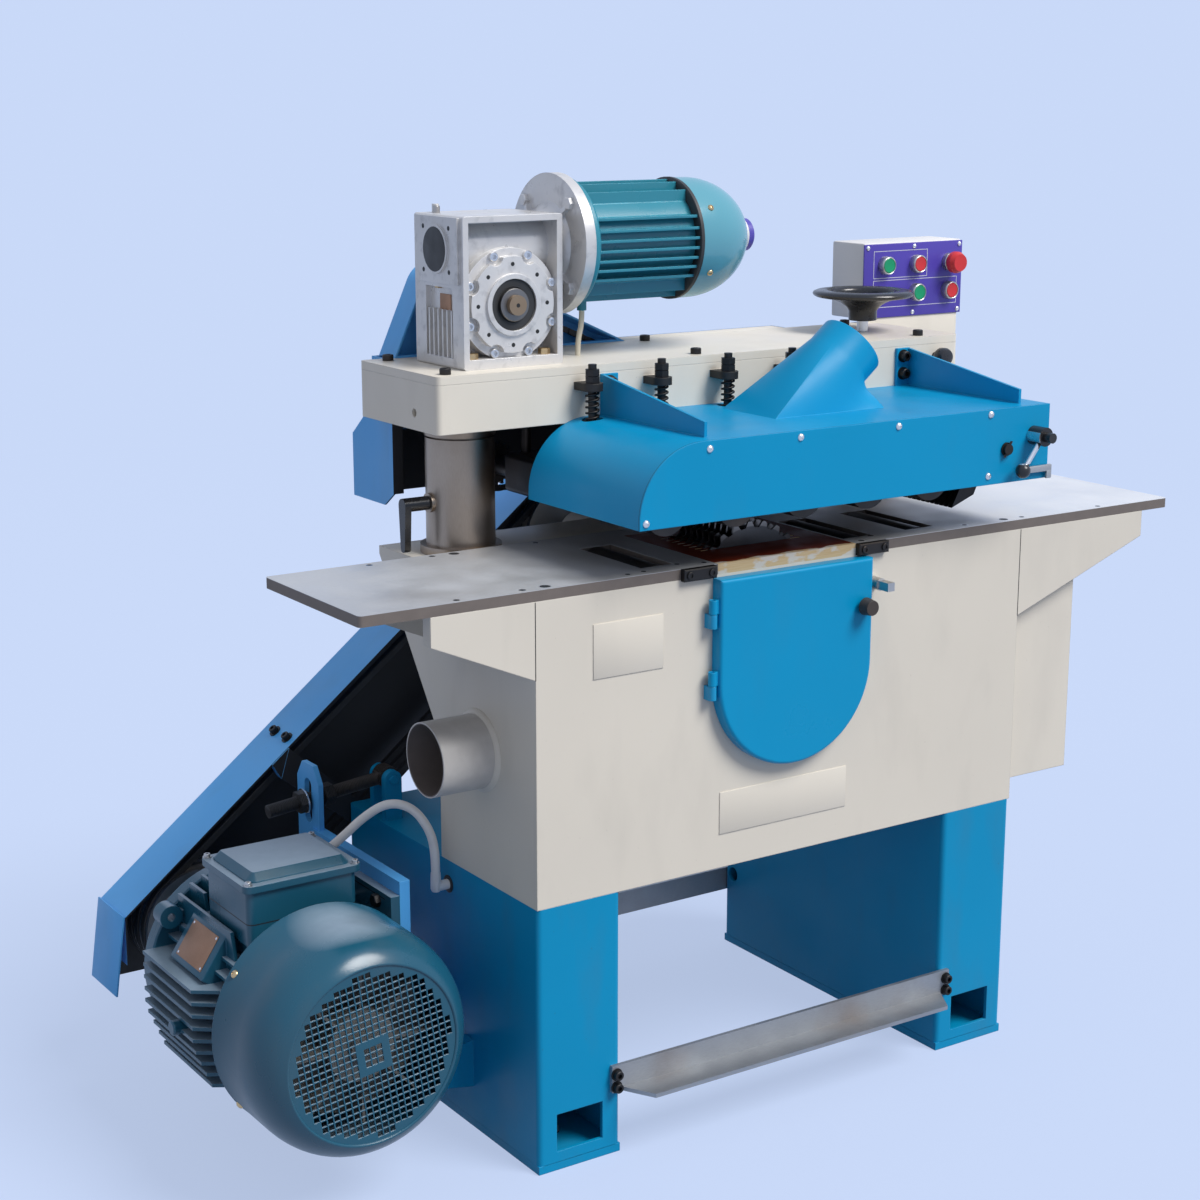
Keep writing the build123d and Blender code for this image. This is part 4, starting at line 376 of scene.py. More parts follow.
class Finish:
    """One procedural material on object coordinates."""

    def __init__(self, name):
        self.material = bpy.data.materials.new(name)
        self.material.use_nodes = True
        self.tree = self.material.node_tree
        self.shader = self.tree.nodes["Principled BSDF"]
        self.place = self.tree.nodes.new("ShaderNodeTexCoord").outputs["Object"]

    def node(self, kind, **values):
        """New node with its settings."""
        made = self.tree.nodes.new(kind)
        for key, value in values.items():
            setattr(made, key, value)
        return made

    def link(self, source, target):
        """Join two sockets."""
        self.tree.links.new(source, target)

    def noise(self, scale, detail=4.0, stretch=None):
        """Noise factor, stretched by a mapping where asked."""
        source = self.place
        if stretch:
            mapping = self.node("ShaderNodeMapping")
            mapping.inputs["Scale"].default_value = stretch
            self.link(source, mapping.inputs["Vector"])
            source = mapping.outputs["Vector"]
        made = self.node("ShaderNodeTexNoise")
        made.inputs["Scale"].default_value = scale
        made.inputs["Detail"].default_value = detail
        self.link(source, made.inputs["Vector"])
        return made.outputs["Fac"]

    def range(self, source, low, high, to_low=0.0, to_high=1.0):
        """Clamped map of one value range on another."""
        made = self.node("ShaderNodeMapRange", clamp=True)
        for key, value in (("From Min", low), ("From Max", high), ("To Min", to_low), ("To Max", to_high)):
            made.inputs[key].default_value = value
        self.link(source, made.inputs["Value"])
        return made.outputs["Result"]

    def split(self, vector, index):
        """One part of a vector."""
        made = self.node("ShaderNodeSeparateXYZ")
        self.link(vector, made.inputs[0])
        return made.outputs[index]

    def axis(self, index):
        """One object coordinate, in metres."""
        return self.split(self.place, index)

    def normal(self, index):
        """One part of the surface's direction."""
        return self.split(self.node("ShaderNodeNewGeometry").outputs["Normal"], index)

    def math(self, operation, first, second):
        """Two-value arithmetic on sockets or numbers."""
        made = self.node("ShaderNodeMath", operation=operation)
        for socket, value in zip(made.inputs, (first, second)):
            if isinstance(value, (int, float)):
                socket.default_value = value
            else:
                self.link(value, socket)
        return made.outputs[0]

    def vector(self, operation, first, second):
        """Vector arithmetic on a socket and a plain vector."""
        made = self.node("ShaderNodeVectorMath", operation=operation)
        self.link(first, made.inputs[0])
        made.inputs[1].default_value = second
        return made.outputs["Vector"]

    def reach(self, vector):
        """Length of a vector."""
        made = self.node("ShaderNodeVectorMath", operation="LENGTH")
        self.link(vector, made.inputs[0])
        return made.outputs["Value"]

    def off_axis(self, centre, plane):
        """Distance from an axis through a point, where plane is 0 along the axis; in metres."""
        return self.reach(self.vector("MULTIPLY", self.vector("SUBTRACT", self.place, centre * MM), plane))

    def mix(self, factor, first, second):
        """Blend of two colours, each a socket or a tuple."""
        made = self.node("ShaderNodeMix", data_type="RGBA")
        self.link(factor, made.inputs[0])
        for socket, value in ((made.inputs[6], first), (made.inputs[7], second)):
            if isinstance(value, bpy.types.NodeSocket):
                self.link(value, socket)
            else:
                socket.default_value = (*value, 1)
        return made.outputs[2]

    def linked(self, key):
        """Socket that feeds one of the shader's inputs."""
        return self.shader.inputs[key].links[0].from_socket

    def colour(self, value):
        """Link the base colour."""
        self.link(value, self.shader.inputs["Base Color"])

    def set(self, **values):
        """Numbers straight on the shader's sockets, or links to them."""
        for key, value in values.items():
            socket = self.shader.inputs[key.replace("_", " ")]
            if isinstance(value, bpy.types.NodeSocket):
                self.link(value, socket)
            else:
                socket.default_value = value

    def soft_edges(self, radius):
        """Round the shading over sharp edges, and give a mask of those edges."""
        rounded = self.node("ShaderNodeBevel", samples=4)
        rounded.inputs["Radius"].default_value = radius
        self.link(rounded.outputs["Normal"], self.shader.inputs["Normal"])
        lean = self.node("ShaderNodeVectorMath", operation="DOT_PRODUCT")
        self.link(rounded.outputs["Normal"], lean.inputs[0])
        self.link(self.node("ShaderNodeNewGeometry").outputs["Normal"], lean.inputs[1])
        return self.range(lean.outputs["Value"], 0.99, 0.90)

    def bump(self, height, strength, distance):
        """Raise the surface by a height, over what bends its normal already."""
        made = self.node("ShaderNodeBump")
        made.inputs["Strength"].default_value = strength
        made.inputs["Distance"].default_value = distance
        self.link(height, made.inputs["Height"])
        if self.shader.inputs["Normal"].is_linked:
            self.link(self.linked("Normal"), made.inputs["Normal"])
        self.link(made.outputs["Normal"], self.shader.inputs["Normal"])

    def before(self, index, limit):
        """Mask that is 1 below a coordinate in millimetres."""
        return self.range(self.axis(index), (limit - 0.2) * MM, (limit + 0.2) * MM, 1.0, 0.0)

    def beyond(self, index, limit):
        """Mask that is 1 above a coordinate in millimetres."""
        return self.range(self.axis(index), (limit - 0.2) * MM, (limit + 0.2) * MM)

    def within(self, index, low, high):
        """Mask that is 1 between two coordinates in millimetres."""
        return self.both(self.beyond(index, low), self.before(index, high))

    def both(self, first, second):
        """Mask where two masks meet."""
        return self.math("MULTIPLY", first, second)

    def either(self, first, second):
        """Mask of two masks together."""
        return self.math("MAXIMUM", first, second)

    def second(self, where, colour, rough, metallic=0.0):
        """Give part of a node another colour, gloss and metal by its place."""
        tone = self.mix(self.noise(60.0, 4.0), shade(colour, 0.85), shade(colour, 1.1))
        self.colour(self.mix(where, self.linked("Base Color"), tone))
        first = self.math("MULTIPLY", self.linked("Roughness"), self.math("SUBTRACT", 1.0, where))
        self.set(Roughness=self.math("ADD", first, self.math("MULTIPLY", where, rough)))
        first_metal = self.shader.inputs["Metallic"].default_value
        if first_metal != metallic:
            self.set(Metallic=self.range(where, 0, 1, first_metal, metallic))

    def apply(self, *names):
        """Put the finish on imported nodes."""
        for name in names:
            for slot in NODES[name].material_slots:
                slot.material = self.material


def shade(colour, factor):
    """Colour made darker or lighter, kept in range."""
    return tuple(min(1.0, value * factor) for value in colour)


def painted(name, colour, rough=0.38, dirt=0.3, peel=0.12, worn=None, gloss=0.5):
    """Sprayed machine paint: drifting tone, dust, scuffs, worn edges and a light orange peel."""
    f = Finish(name)
    edge = f.both(f.soft_edges(0.0016), f.range(f.noise(38.0, 5.0), 0.36, 0.6, 0.15, 0.75))
    tone = f.mix(f.noise(3.0, 5.0), shade(colour, 0.9), shade(colour, 1.07))
    smear = f.range(f.noise(14.0, 6.0, stretch=(1, 1, 0.35)), 0.52, 0.78, 0.0, dirt)
    tone = f.mix(smear, tone, tuple(0.55 * value + 0.05 for value in shade(colour, 0.8)))
    speck = f.range(f.noise(210.0, 2.0), 0.73, 0.80, 0.0, dirt)
    tone = f.mix(speck, tone, (0.05, 0.05, 0.05))
    f.colour(f.mix(edge, tone, worn or tuple(min(1.0, 1.2 * value + 0.03) for value in colour)))
    f.set(Roughness=f.range(f.noise(9.0, 5.0), 0.3, 0.7, rough - 0.07, rough + 0.12),
          Specular_IOR_Level=gloss)
    f.bump(f.noise(520.0, 2.0), peel, 0.0004)
    return f


def metal(name, colour, rough=0.32, grain=(1, 14, 14), rust=0.15, bump=0.08):
    """Bare steel with the grain of its machining, stains and some rust."""
    f = Finish(name)
    lines = f.noise(120.0, 3.0, stretch=grain)
    tone = f.mix(lines, shade(colour, 0.82), shade(colour, 1.12))
    stain = f.range(f.noise(7.0, 6.0), 0.5, 0.72, 0.0, rust)
    f.colour(f.mix(stain, tone, (0.20, 0.13, 0.08)))
    f.set(Metallic=1.0, Roughness=f.range(f.noise(16.0, 5.0), 0.3, 0.7, rough - 0.08, rough + 0.16))
    f.bump(lines, bump, 0.0003)
    return f


def plastic(name, colour, rough=0.3, grain=0.05):
    """Moulded plastic with a fine texture."""
    f = Finish(name)
    f.colour(f.mix(f.noise(30.0, 4.0), shade(colour, 0.85), shade(colour, 1.12)))
    f.set(Roughness=f.range(f.noise(40.0, 3.0), 0.3, 0.7, rough - 0.06, rough + 0.1))
    f.bump(f.noise(900.0, 2.0), grain, 0.0002)
    return f


# Near black for painted shade inside the hood and the guards, and for the dark seam of the terminal box
SHADE_AND_SEAM_BLACK = (0.010, 0.010, 0.012)
GREY_EDGE = (0.50, 0.48, 0.43)
ALONG_X, ALONG_Y, ALONG_Z = (1, 10, 10), (14, 1, 14), (12, 12, 1)
EVEN = (8, 8, 8)


class SAW_OT_paint(bpy.types.Operator):
    """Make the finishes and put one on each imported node"""
    bl_idname = "saw.paint"
    bl_label = "Paint the nodes"

    def execute(self, context):
        colours = context.scene.saw_colours
        self.paints(colours)
        self.metals()
        self.plastics(colours)
        FINISH["saw_motor"] = self.dust_and_sheen_enamel(colours.saw_motor)
        FINISH["cast"] = self.cast_alloy()
        FINISH["hood"] = self.hood_paint(colours.hood_blue)
        FINISH["bed_and_pipe"] = self.bed_paint(colours)
        self.head_nodes(colours)
        self.bed_nodes(colours)
        self.drive_nodes(colours)
        self.plain_nodes()
        return {"FINISHED"}

    def paints(self, c):
        """Paints of one colour."""
        # Painted sheen: the feed cowl takes the motor's enamel made lighter and greyer, standing for its gloss
        cowl = tuple(1.15 * value + 0.08 for value in c.feed_motor)
        # Painted shade: the pedestals take the hood's blue made darker, as it looks low down
        FINISH["pedestal"] = painted("pedestal_blue_shaded", shade(c.hood_blue, 0.92), 0.4, 0.3, gloss=0.25)
        FINISH["guard"] = painted("guard_blue", c.guard_blue, 0.4, 0.22, gloss=0.35)
        FINISH["bed"] = painted("bed_cream", c.cream, 0.42, 0.16, worn=GREY_EDGE)
        # Painted light: the beam takes the bed's cream made lighter
        FINISH["beam"] = painted("beam_cream_lit", shade(c.cream, 1.06), 0.42, 0.14, worn=GREY_EDGE)
        FINISH["trim"] = painted("trim_cream", shade(c.cream, 1.02), 0.45, 0.1, worn=GREY_EDGE)
        FINISH["feed_motor"] = painted("feed_motor_enamel", c.feed_motor, 0.26, 0.1, 0.2,
                                       shade(c.feed_motor, 1.9))
        FINISH["feed_cowl"] = painted("feed_cowl_enamel", cowl, 0.17, 0.05, 0.1)
        FINISH["panel"] = painted("panel_blue", c.panel, 0.33, 0.05)
        FINISH["box"] = painted("box_grey", (0.80, 0.80, 0.81), 0.45, 0.1)

    def metals(self):
        """Bare metals: colour, roughness, stretch of the grain and share of rust."""
        for key, name, *look in (
                ("steel", "bare_steel", (0.50, 0.49, 0.47), 0.36, ALONG_Y, 0.25),
                ("roller", "roller_steel", (0.22, 0.21, 0.20), 0.42, ALONG_Y, 0.35),
                # Roller steel made near black: painted shade under the hood
                ("dark_steel", "dark_steel", (0.07, 0.066, 0.062), 0.5, ALONG_Y, 0.3),
                ("brace", "brace_steel", (0.36, 0.37, 0.38), 0.5, ALONG_X, 0.4),
                ("column", "column_steel", (0.35, 0.285, 0.225), 0.36, ALONG_Z, 0.6),
                ("black", "black_oxide", (0.045, 0.043, 0.042), 0.45, (10, 10, 10), 0.25),
                ("bright", "bright_steel", (0.72, 0.72, 0.72), 0.25, EVEN, 0.05),
                ("brass", "plated_brass", (0.62, 0.45, 0.24), 0.32, EVEN, 0.2),
                ("plate", "copper_plate", (0.42, 0.24, 0.15), 0.5, (20, 2, 20), 0.5)):
            FINISH[key] = metal(name, *look)

    def plastics(self, c):
        """Plastics and rubbers: colour, roughness and grain."""
        for key, name, *look in (
                ("cap", "cap_blue", (0.09, 0.07, 0.42), 0.35),
                ("rubber", "belt_rubber", (0.022, 0.022, 0.023), 0.7, 0.15),
                ("seal", "seal_rubber", (0.03, 0.03, 0.03), 0.5, 0.1),
                ("black_plastic", "black_plastic", (0.018, 0.018, 0.02), 0.25),
                ("conduit", "white_sheath", (0.86, 0.86, 0.86), 0.42),
                ("cable", "cream_sheath", (0.66, 0.62, 0.52), 0.45),
                ("red", "button_red", c.red, 0.35),
                ("green", "button_green", c.green, 0.35),
                # Near black for painted shade in holes and behind the belt guard, and for the dark wing seams
                ("recess", "recess_dark", (0.012, 0.012, 0.012), 0.6),
                ("line", "pale_line", (0.62, 0.64, 0.72), 0.5)):
            FINISH[key] = plastic(name, *look)

    def dust_and_sheen_enamel(self, colour):
        """Dark enamel with a pale blue on what faces up, a painted sheen of the sky with some dust, and the seam
        of the terminal box.
        """
        f = painted("saw_motor_enamel", colour, 0.28, 0.35, 0.2, shade(colour, 2.2))
        # Painted sheen: upward faces lightened towards a pale blue, standing for the sky's reflection, with some
        # dust
        f.second(f.range(f.normal(Z), 0.9, 1.0, 0.0, 0.6), (0.34, 0.43, 0.53), 0.3)
        seam = f.within(Z, TERMINAL_SEAM - 0.9, TERMINAL_SEAM + 0.9)
        f.second(f.both(seam, f.within(Y, TERMINAL_FRONT, TERMINAL_BACK)), SHADE_AND_SEAM_BLACK, 0.6)
        return f

    def cast_alloy(self):
        """Die-cast aluminium: bright, finely pitted, with grey blotches and bright edges."""
        f = Finish("cast_alloy")
        edge = f.soft_edges(0.0012)
        tone = f.mix(f.noise(11.0, 6.0), (0.56, 0.55, 0.54), (0.78, 0.77, 0.76))
        tone = f.mix(f.range(f.noise(60.0, 5.0), 0.55, 0.75, 0.0, 0.45), tone, (0.30, 0.30, 0.31))
        f.colour(f.mix(f.math("MULTIPLY", edge, 0.6), tone, (0.86, 0.87, 0.88)))
        f.set(Metallic=0.35, Roughness=f.range(f.noise(25.0, 5.0), 0.3, 0.7, 0.26, 0.48))
        f.bump(f.noise(420.0, 3.0), 0.25, 0.0005)
        return f

    def hood_paint(self, blue):
        """Hood paint with painted shade on its inside and underside below the mouth, and the dark seam along its
        front plate.
        """
        f = painted("hood_blue", blue, 0.36, 0.12, gloss=0.25)
        # Painted shade: faces inside and under the hood, below its mouth, turned near black
        inside = f.either(f.range(f.normal(Y), 0.6, 0.8), f.range(f.normal(Z), -0.6, -0.8))
        f.second(f.both(inside, f.before(Z, HOOD_MOUTH)), SHADE_AND_SEAM_BLACK, 0.6)
        seam = f.within(Y, HOOD_FRONT + 2.6, HOOD_FRONT + 3.4)
        f.second(f.both(seam, f.range(f.normal(Y), 0.3, 0.1)), (0.01, 0.05, 0.11), 0.6)
        return f

    def bed_paint(self, c):
        """Bed paint with the door's blue hinges, and painted shade on the dust pipe: its wall a greyer cream and
        its bore dark.
        """
        f = painted("bed_with_pipe", c.cream, 0.42, 0.16, worn=GREY_EDGE)
        hinge = f.both(f.before(Y, BED_FRONT - 0.6), f.before(X, HINGE_RIGHT))
        f.second(f.both(hinge, f.beyond(Z, HINGE_LOW)), c.hood_blue, 0.35)
        # Painted shade: the pipe's wall is the cream made greyer and darker, as it looks in shade
        pipe = f.both(f.before(X, BED_LEFT - 1.5), f.within(Z, PIPE_LOW, PIPE_HIGH))
        f.second(pipe, (0.62, 0.60, 0.575), 0.4)
        # Painted shade: the pipe's bore darkened inside its radius
        pipe_end = Vector(MOUNTS["bed_dust_outlet"]["pos_m"]) / MM
        bore = f.range(f.off_axis(pipe_end, (0, 1, 1)), PIPE_BORE * MM, (PIPE_BORE + 0.5) * MM, 1.0, 0.0)
        f.second(f.both(pipe, bore), (0.17, 0.145, 0.135), 0.6)
        return f

    def head_nodes(self, c):
        """Nodes of the head whose parts differ in colour."""
        FINISH["hood"].apply("hood")
        # Painted light: the beam's cream made lighter than the bed's
        f = painted("beam_with_lugs", shade(c.cream, 1.06), 0.42, 0.14, worn=GREY_EDGE)
        f.second(f.before(Y, BEAM_FRONT - 0.6), (0.035, 0.033, 0.032), 0.5, 0.6)
        f.apply("beam")
        f = painted("chain_guard_paint", c.guard_blue, 0.4, 0.22)
        # Painted shade: the guard's inner faces below its lip turned near black
        f.second(f.both(f.range(f.normal(Y), -0.3, -0.7), f.before(Z, CHAIN_GUARD_LIP)), SHADE_AND_SEAM_BLACK, 0.6)
        f.apply("chain_guard")
        f = metal("lever_ball", (0.70, 0.70, 0.70), 0.22, EVEN, 0.05)
        hub = f.both(f.beyond(X, LEVER_HUB_X), f.beyond(Z, LEVER_HUB_Z))
        f.second(f.either(hub, f.before(Z, LEVER_BALL_Z)), (0.018, 0.018, 0.02), 0.28)
        f.apply("finger_lever")
        f = metal("feed_shaft", (0.50, 0.49, 0.47), 0.36, ALONG_Y, 0.25)
        f.second(f.before(Y, SHAFT_END + 9), (0.32, 0.23, 0.15), 0.4, 0.7)
        f.apply("feed_sprocket")

    def bed_nodes(self, c):
        """Nodes of the bed whose parts differ in colour."""
        FINISH["bed_and_pipe"].apply("bed_body")
        f = painted("door_with_knob", c.hood_blue, 0.32, 0.08, gloss=0.25)
        f.second(f.before(Y, DOOR_FRONT - 0.6), (0.06, 0.05, 0.045), 0.45)
        f.apply("door")
        f = metal("table_steel", c.steel, 0.5, (1, 18, 18), 0.10)
        f.set(Metallic=0.5)
        worn = f.range(f.noise(2.4, 4.0), 0.35, 0.65)
        base = f.mix(f.math("MULTIPLY", worn, 0.35), f.linked("Base Color"), (0.34, 0.35, 0.37))
        # Painted highlight: the table lightens towards its right wing
        f.colour(f.mix(f.range(f.axis(X), 0.05, 0.6, 0.0, 0.75), base, (0.88, 0.89, 0.90)))
        f.second(f.before(Z, TABLE_TOP - 0.5), (0.19, 0.16, 0.14), 0.62, 0.35)
        f.apply("table_plate")
        f = Finish("faced_board")
        grain = f.noise(40.0, 5.0, stretch=(0.4, 6, 6))
        face = f.mix(grain, shade(c.board, 0.7), shade(c.board, 1.35))
        ply = f.mix(f.noise(90.0, 2.0, stretch=(0.3, 0.3, 9)), (0.58, 0.39, 0.19), (0.70, 0.56, 0.36))
        chalk = f.range(f.noise(26.0, 4.0, stretch=(1, 1, 2.5)), 0.5, 0.56, 0.0, 0.85)
        ply = f.mix(chalk, ply, (0.66, 0.64, 0.60))
        ragged = f.math("ADD", f.axis(Y), f.range(f.noise(22.0, 3.0), 0.35, 0.65, -5 * MM, 5 * MM))
        front = f.range(ragged, (BED_FRONT + 7.8) * MM, (BED_FRONT + 8.6) * MM, 1.0, 0.0)
        f.colour(f.mix(f.either(f.before(Z, TABLE_TOP - 0.4), front), face, ply))
        f.set(Roughness=f.range(f.noise(22.0, 4.0), 0.3, 0.7, 0.38, 0.6), Specular_IOR_Level=0.06)
        f.bump(grain, 0.15, 0.0004)
        f.apply("insert_board")

    def drive_nodes(self, c):
        """Nodes of the saw's drive whose parts differ in colour."""
        f = painted("belt_guard_paint", c.guard_blue, 0.4, 0.22)
        # Painted shade: the guard's inner faces, which look forward, turned near black
        f.second(f.range(f.normal(Y), -0.3, -0.7), SHADE_AND_SEAM_BLACK, 0.6)
        f.apply("belt_guard")
        f = metal("rotor_steel", (0.42, 0.41, 0.40), 0.42, (10, 10, 10), 0.2)
        f.second(f.before(Y, FAN_BACK), (0.21, 0.21, 0.20), 0.5)
        f.apply("motor_rotor")
        # Painted shade: the blade steel is made near black, as it lies under the hood; the lighter tips are the
        # blade's own
        f = metal("blade_with_tips", (0.12, 0.12, 0.12), 0.34, (12, 12, 12), 0.2)
        tip = f.range(f.off_axis(ARBOR_AXIS, (1, 0, 1)), (BLADE_RADIUS - 7.5) * MM, (BLADE_RADIUS - 6.5) * MM)
        f.second(tip, (0.22, 0.21, 0.20), 0.3, 1.0)
        f.apply("saw_blades")
        f = metal("rod_thread", (0.06, 0.055, 0.05), 0.5, EVEN, 0.4)
        wave = f.node("ShaderNodeTexWave", wave_profile="SIN", bands_direction="X")
        wave.inputs["Scale"].default_value = 125.0
        f.link(f.place, wave.inputs["Vector"])
        f.bump(wave.outputs["Fac"], 0.9, 0.0015)
        f.apply("tension_rod")

    def plain_nodes(self):
        """Nodes with one finish all over."""
        for finish, *names in (
                ("pedestal", "pedestals"), ("brace", "cross_braces"), ("column", "columns", "guide_posts"),
                ("black", "foot_pads", "clamp_blocks", "feed_chain", "kickback_fingers"),
                ("black_plastic", "column_lever", "handwheel"), ("bed", "arbor_housing"),
                ("beam", "top_plate"), ("steel", "adjust_shaft", "arbor_shaft"), ("guard", "motor_plate"),
                ("cast", "gearbox_case"), ("saw_motor", "motor_frame", "fan_cowl"),
                ("feed_motor", "feed_motor"), ("box", "control_box"), ("panel", "control_panel"),
                ("green", "start_saw_button", "start_feed_button"),
                ("red", "stop_saw_button", "emergency_stop", "stop_feed_button"),
                ("rubber", "drive_belts"), ("conduit", "motor_conduit"), ("cable", "feed_cable")):
            FINISH[finish].apply(*names)
        # Rollers take the near black steel: painted shade under the hood
        for number in range(1, 6):
            FINISH["black"].apply("press_carrier_%d" % number, "press_spring_%d" % number)
            FINISH["dark_steel"].apply("press_roller_%d" % number)
        for number in range(1, 4):
            FINISH["dark_steel"].apply("table_roller_%d" % number)


# Route points of the cords, in millimetres
CONDUIT_ROUTE = [(-581.0, 50.0, 411.0), (-557.6, 50.0, 424.5), (-532.0, 36.0, 453.0),
                 (-505.0, 11.0, 478.0), (-479.0, -14.0, 473.0), (-461.0, -30.0, 442.0),
                 (-454.0, -34.0, 409.0), (-454.0, -34.0, 375.0)]
CABLE_ROUTE = [(-149.5, 47.5, 1153.0), (-149.5, 47.5, 1133.0), (-156.5, 47.5, 1111.0),
               (-156.5, 47.5, 1088.0)]

# Nut where the conduit enters the terminal box: its place and the way it faces
BOX_NUT = (-584.5, 50.0, 409.0)
BOX_NUT_WAY = (0.866, 0.0, 0.5)


def cord_mesh(name, route, diameter, finish):
    """Tube along a smooth line whose control points are the route, with the points it follows."""
    curve = bpy.data.curves.new(name, "CURVE")
    curve.dimensions = "3D"
    curve.resolution_u = 10
    spline = curve.splines.new("NURBS")
    spline.points.add(len(route) - 1)
    for point, place in zip(spline.points, route):
        point.co = (*(Vector(place) * MM), 1)
    spline.order_u = 3
    spline.use_endpoint_u = True
    line = bpy.data.objects.new(name + "_line", curve)
    bpy.context.scene.collection.objects.link(line)
    bpy.context.view_layer.update()
    path_mesh = bpy.data.meshes.new_from_object(line)
    path = [tuple(vert.co) for vert in path_mesh.vertices]
    curve.bevel_depth = diameter * MM / 2
    curve.bevel_resolution = 5
    curve.use_fill_caps = True
    bpy.context.view_layer.update()
    mesh = bpy.data.meshes.new_from_object(line.evaluated_get(bpy.context.evaluated_depsgraph_get()))
    bpy.data.objects.remove(line)
    bpy.data.meshes.remove(path_mesh)
    bpy.data.curves.remove(curve)
    mesh.name = name
    mesh.materials.clear()
    mesh.materials.append(FINISH[finish].material)
    for polygon in mesh.polygons:
        polygon.use_smooth = True
    obj = bpy.data.objects.new(name, mesh)
    bpy.context.scene.collection.objects.link(obj)
    return obj, path


class SAW_OT_cords(bpy.types.Operator):
    """Lay the motor's conduit and the feed motor's cable, with their glands"""
    bl_idname = "saw.cords"
    bl_label = "Cords"

    def execute(self, context):
        sizes = context.scene.saw_sizes
        conduit, path = cord_mesh("saw_motor_conduit", CONDUIT_ROUTE, sizes.conduit, "conduit")
        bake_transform(conduit)
        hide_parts("motor_conduit")
        cable, path = cord_mesh("feed_motor_cable", CABLE_ROUTE, sizes.cable, "cable")
        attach(cable, "head")
        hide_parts("feed_cable")
        end = Vector(CONDUIT_ROUTE[-1])
        reach = BED_LEFT - end.x
        elbow = end - UP * reach
        with piece("conduit_wall_gland", "conduit", "bed", "cable_sheath") as bm:
            turned(bm, [(0, -8), (6, -7), (7.6, -3), (7.6, 12), (7.2, reach), (0, reach)], UP, elbow, 20)
            rod(bm, 7.4, 0, reach, RIGHT, elbow, 20)
        with piece("conduit_wall_seal", "seal", "bed", "belt_rubber") as bm:
            turned(bm, [(0, 0), (13, 0), (13, 1), (12, 1.6), (0, 1.6)], LEFT, elbow + RIGHT * reach, 24)
        with piece("conduit_box_nut", "black_plastic", "motor_base", "black_steel") as bm:
            hexagon(bm, BOX_NUT_WAY, BOX_NUT, 21, 6)
        return {"FINISHED"}


class SAW_OT_springs(bpy.types.Operator):
    """Wind the five press springs"""
    bl_idname = "saw.springs"
    bl_label = "Press springs"

    def execute(self, context):
        sizes = context.scene.saw_sizes
        wire = sizes.spring_wire / 2
        radius = sizes.spring_radius - wire
        end_gap, turn_steps = 0.5, 28
        low, high = SEAT_Z + wire + end_gap, LUG_Z - wire - end_gap
        steps = sizes.spring_turns * turn_steps
        for number, x in enumerate(PRESS_XS, 1):
            bm = bmesh.new()
            start = Matrix.Translation((radius, 0, low)) @ Matrix.Rotation(pi / 2, 4, "X")
            bmesh.ops.create_circle(bm, segments=10, radius=wire, cap_ends=True, matrix=start)
            geom = list(bm.verts) + list(bm.edges) + list(bm.faces)
            bmesh.ops.spin(bm, geom=geom, cent=(0, 0, 0), axis=(0, 0, 1), angle=2 * pi * sizes.spring_turns,
                           steps=steps, dvec=(0, 0, (high - low) / steps), use_duplicate=False)
            bmesh.ops.recalc_face_normals(bm, faces=bm.faces)
            bmesh.ops.translate(bm, vec=(x, ROD_LINE, 0), verts=bm.verts)
            spring = finish_piece("spring_%d" % number, bm, "black", "head", 60)
            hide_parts("press_spring_%d" % number)
            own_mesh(spring)
        return {"FINISHED"}


def of_kind(geom, kind):
    """Vertices or edges among a list of mixed geometry."""
    return [item for item in geom if isinstance(item, kind)]


class SAW_OT_belts(bpy.types.Operator):
    """Run the V-belts round the two pulleys"""
    bl_idname = "saw.belts"
    bl_label = "V-belts"

    def execute(self, context):
        sizes = context.scene.saw_sizes
        big, small, steps = 90.0, 82.0, 40
        lean = (big - small) / (ARBOR_AXIS - MOTOR_AXIS).length
        start, far = BELT_SLOPE - pi / 2 - lean, BELT_SLOPE + pi / 2 + lean
        travel = ARBOR_AXIS - MOTOR_AXIS + Vector((cos(far), 0, sin(far))) * (small - big)
        ray = Vector((cos(start), 0, sin(start)))
        half, low = sizes.belt_width / 2, big - sizes.belt_height
        section = [(big, 0.8 - half), (big, half - 0.8), (big - 1.5, half), (low, half - 2), (low, 2 - half),
                   (big - 1.5, -half)]
        bm = bmesh.new()
        for y in (BELT_Y - BELT_PITCH, BELT_Y, BELT_Y + BELT_PITCH):
            belt = bmesh.new()
            first = [belt.verts.new(MOTOR_AXIS + ray * r + BACK * (y + w)) for r, w in section]
            ring = [belt.edges.new(pair) for pair in zip(first, first[1:] + first[:1])]
            made = bmesh.ops.spin(belt, geom=first + ring, cent=MOTOR_AXIS, axis=(0, 1, 0),
                                  angle=pi + 2 * lean, steps=steps, use_duplicate=False)["geom_last"]
            run = bmesh.ops.extrude_edge_only(belt, edges=of_kind(made, bmesh.types.BMEdge))["geom"]
            moved = of_kind(run, bmesh.types.BMVert)
            bmesh.ops.translate(belt, vec=travel, verts=moved)
            edges = [edge for edge in of_kind(run, bmesh.types.BMEdge) if all(v in moved for v in edge.verts)]
            made = bmesh.ops.spin(belt, geom=moved + edges, cent=ARBOR_AXIS, axis=(0, 1, 0),
                                  angle=pi - 2 * lean, steps=steps, use_duplicate=False)["geom_last"]
            bmesh.ops.bridge_loops(belt, edges=ring + of_kind(made, bmesh.types.BMEdge))
            bmesh.ops.recalc_face_normals(belt, faces=belt.faces)
            joined(bm, belt)
        belts = finish_piece("v_belts", bm, "rubber", None)
        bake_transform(belts)
        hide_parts("drive_belts")
        return {"FINISHED"}


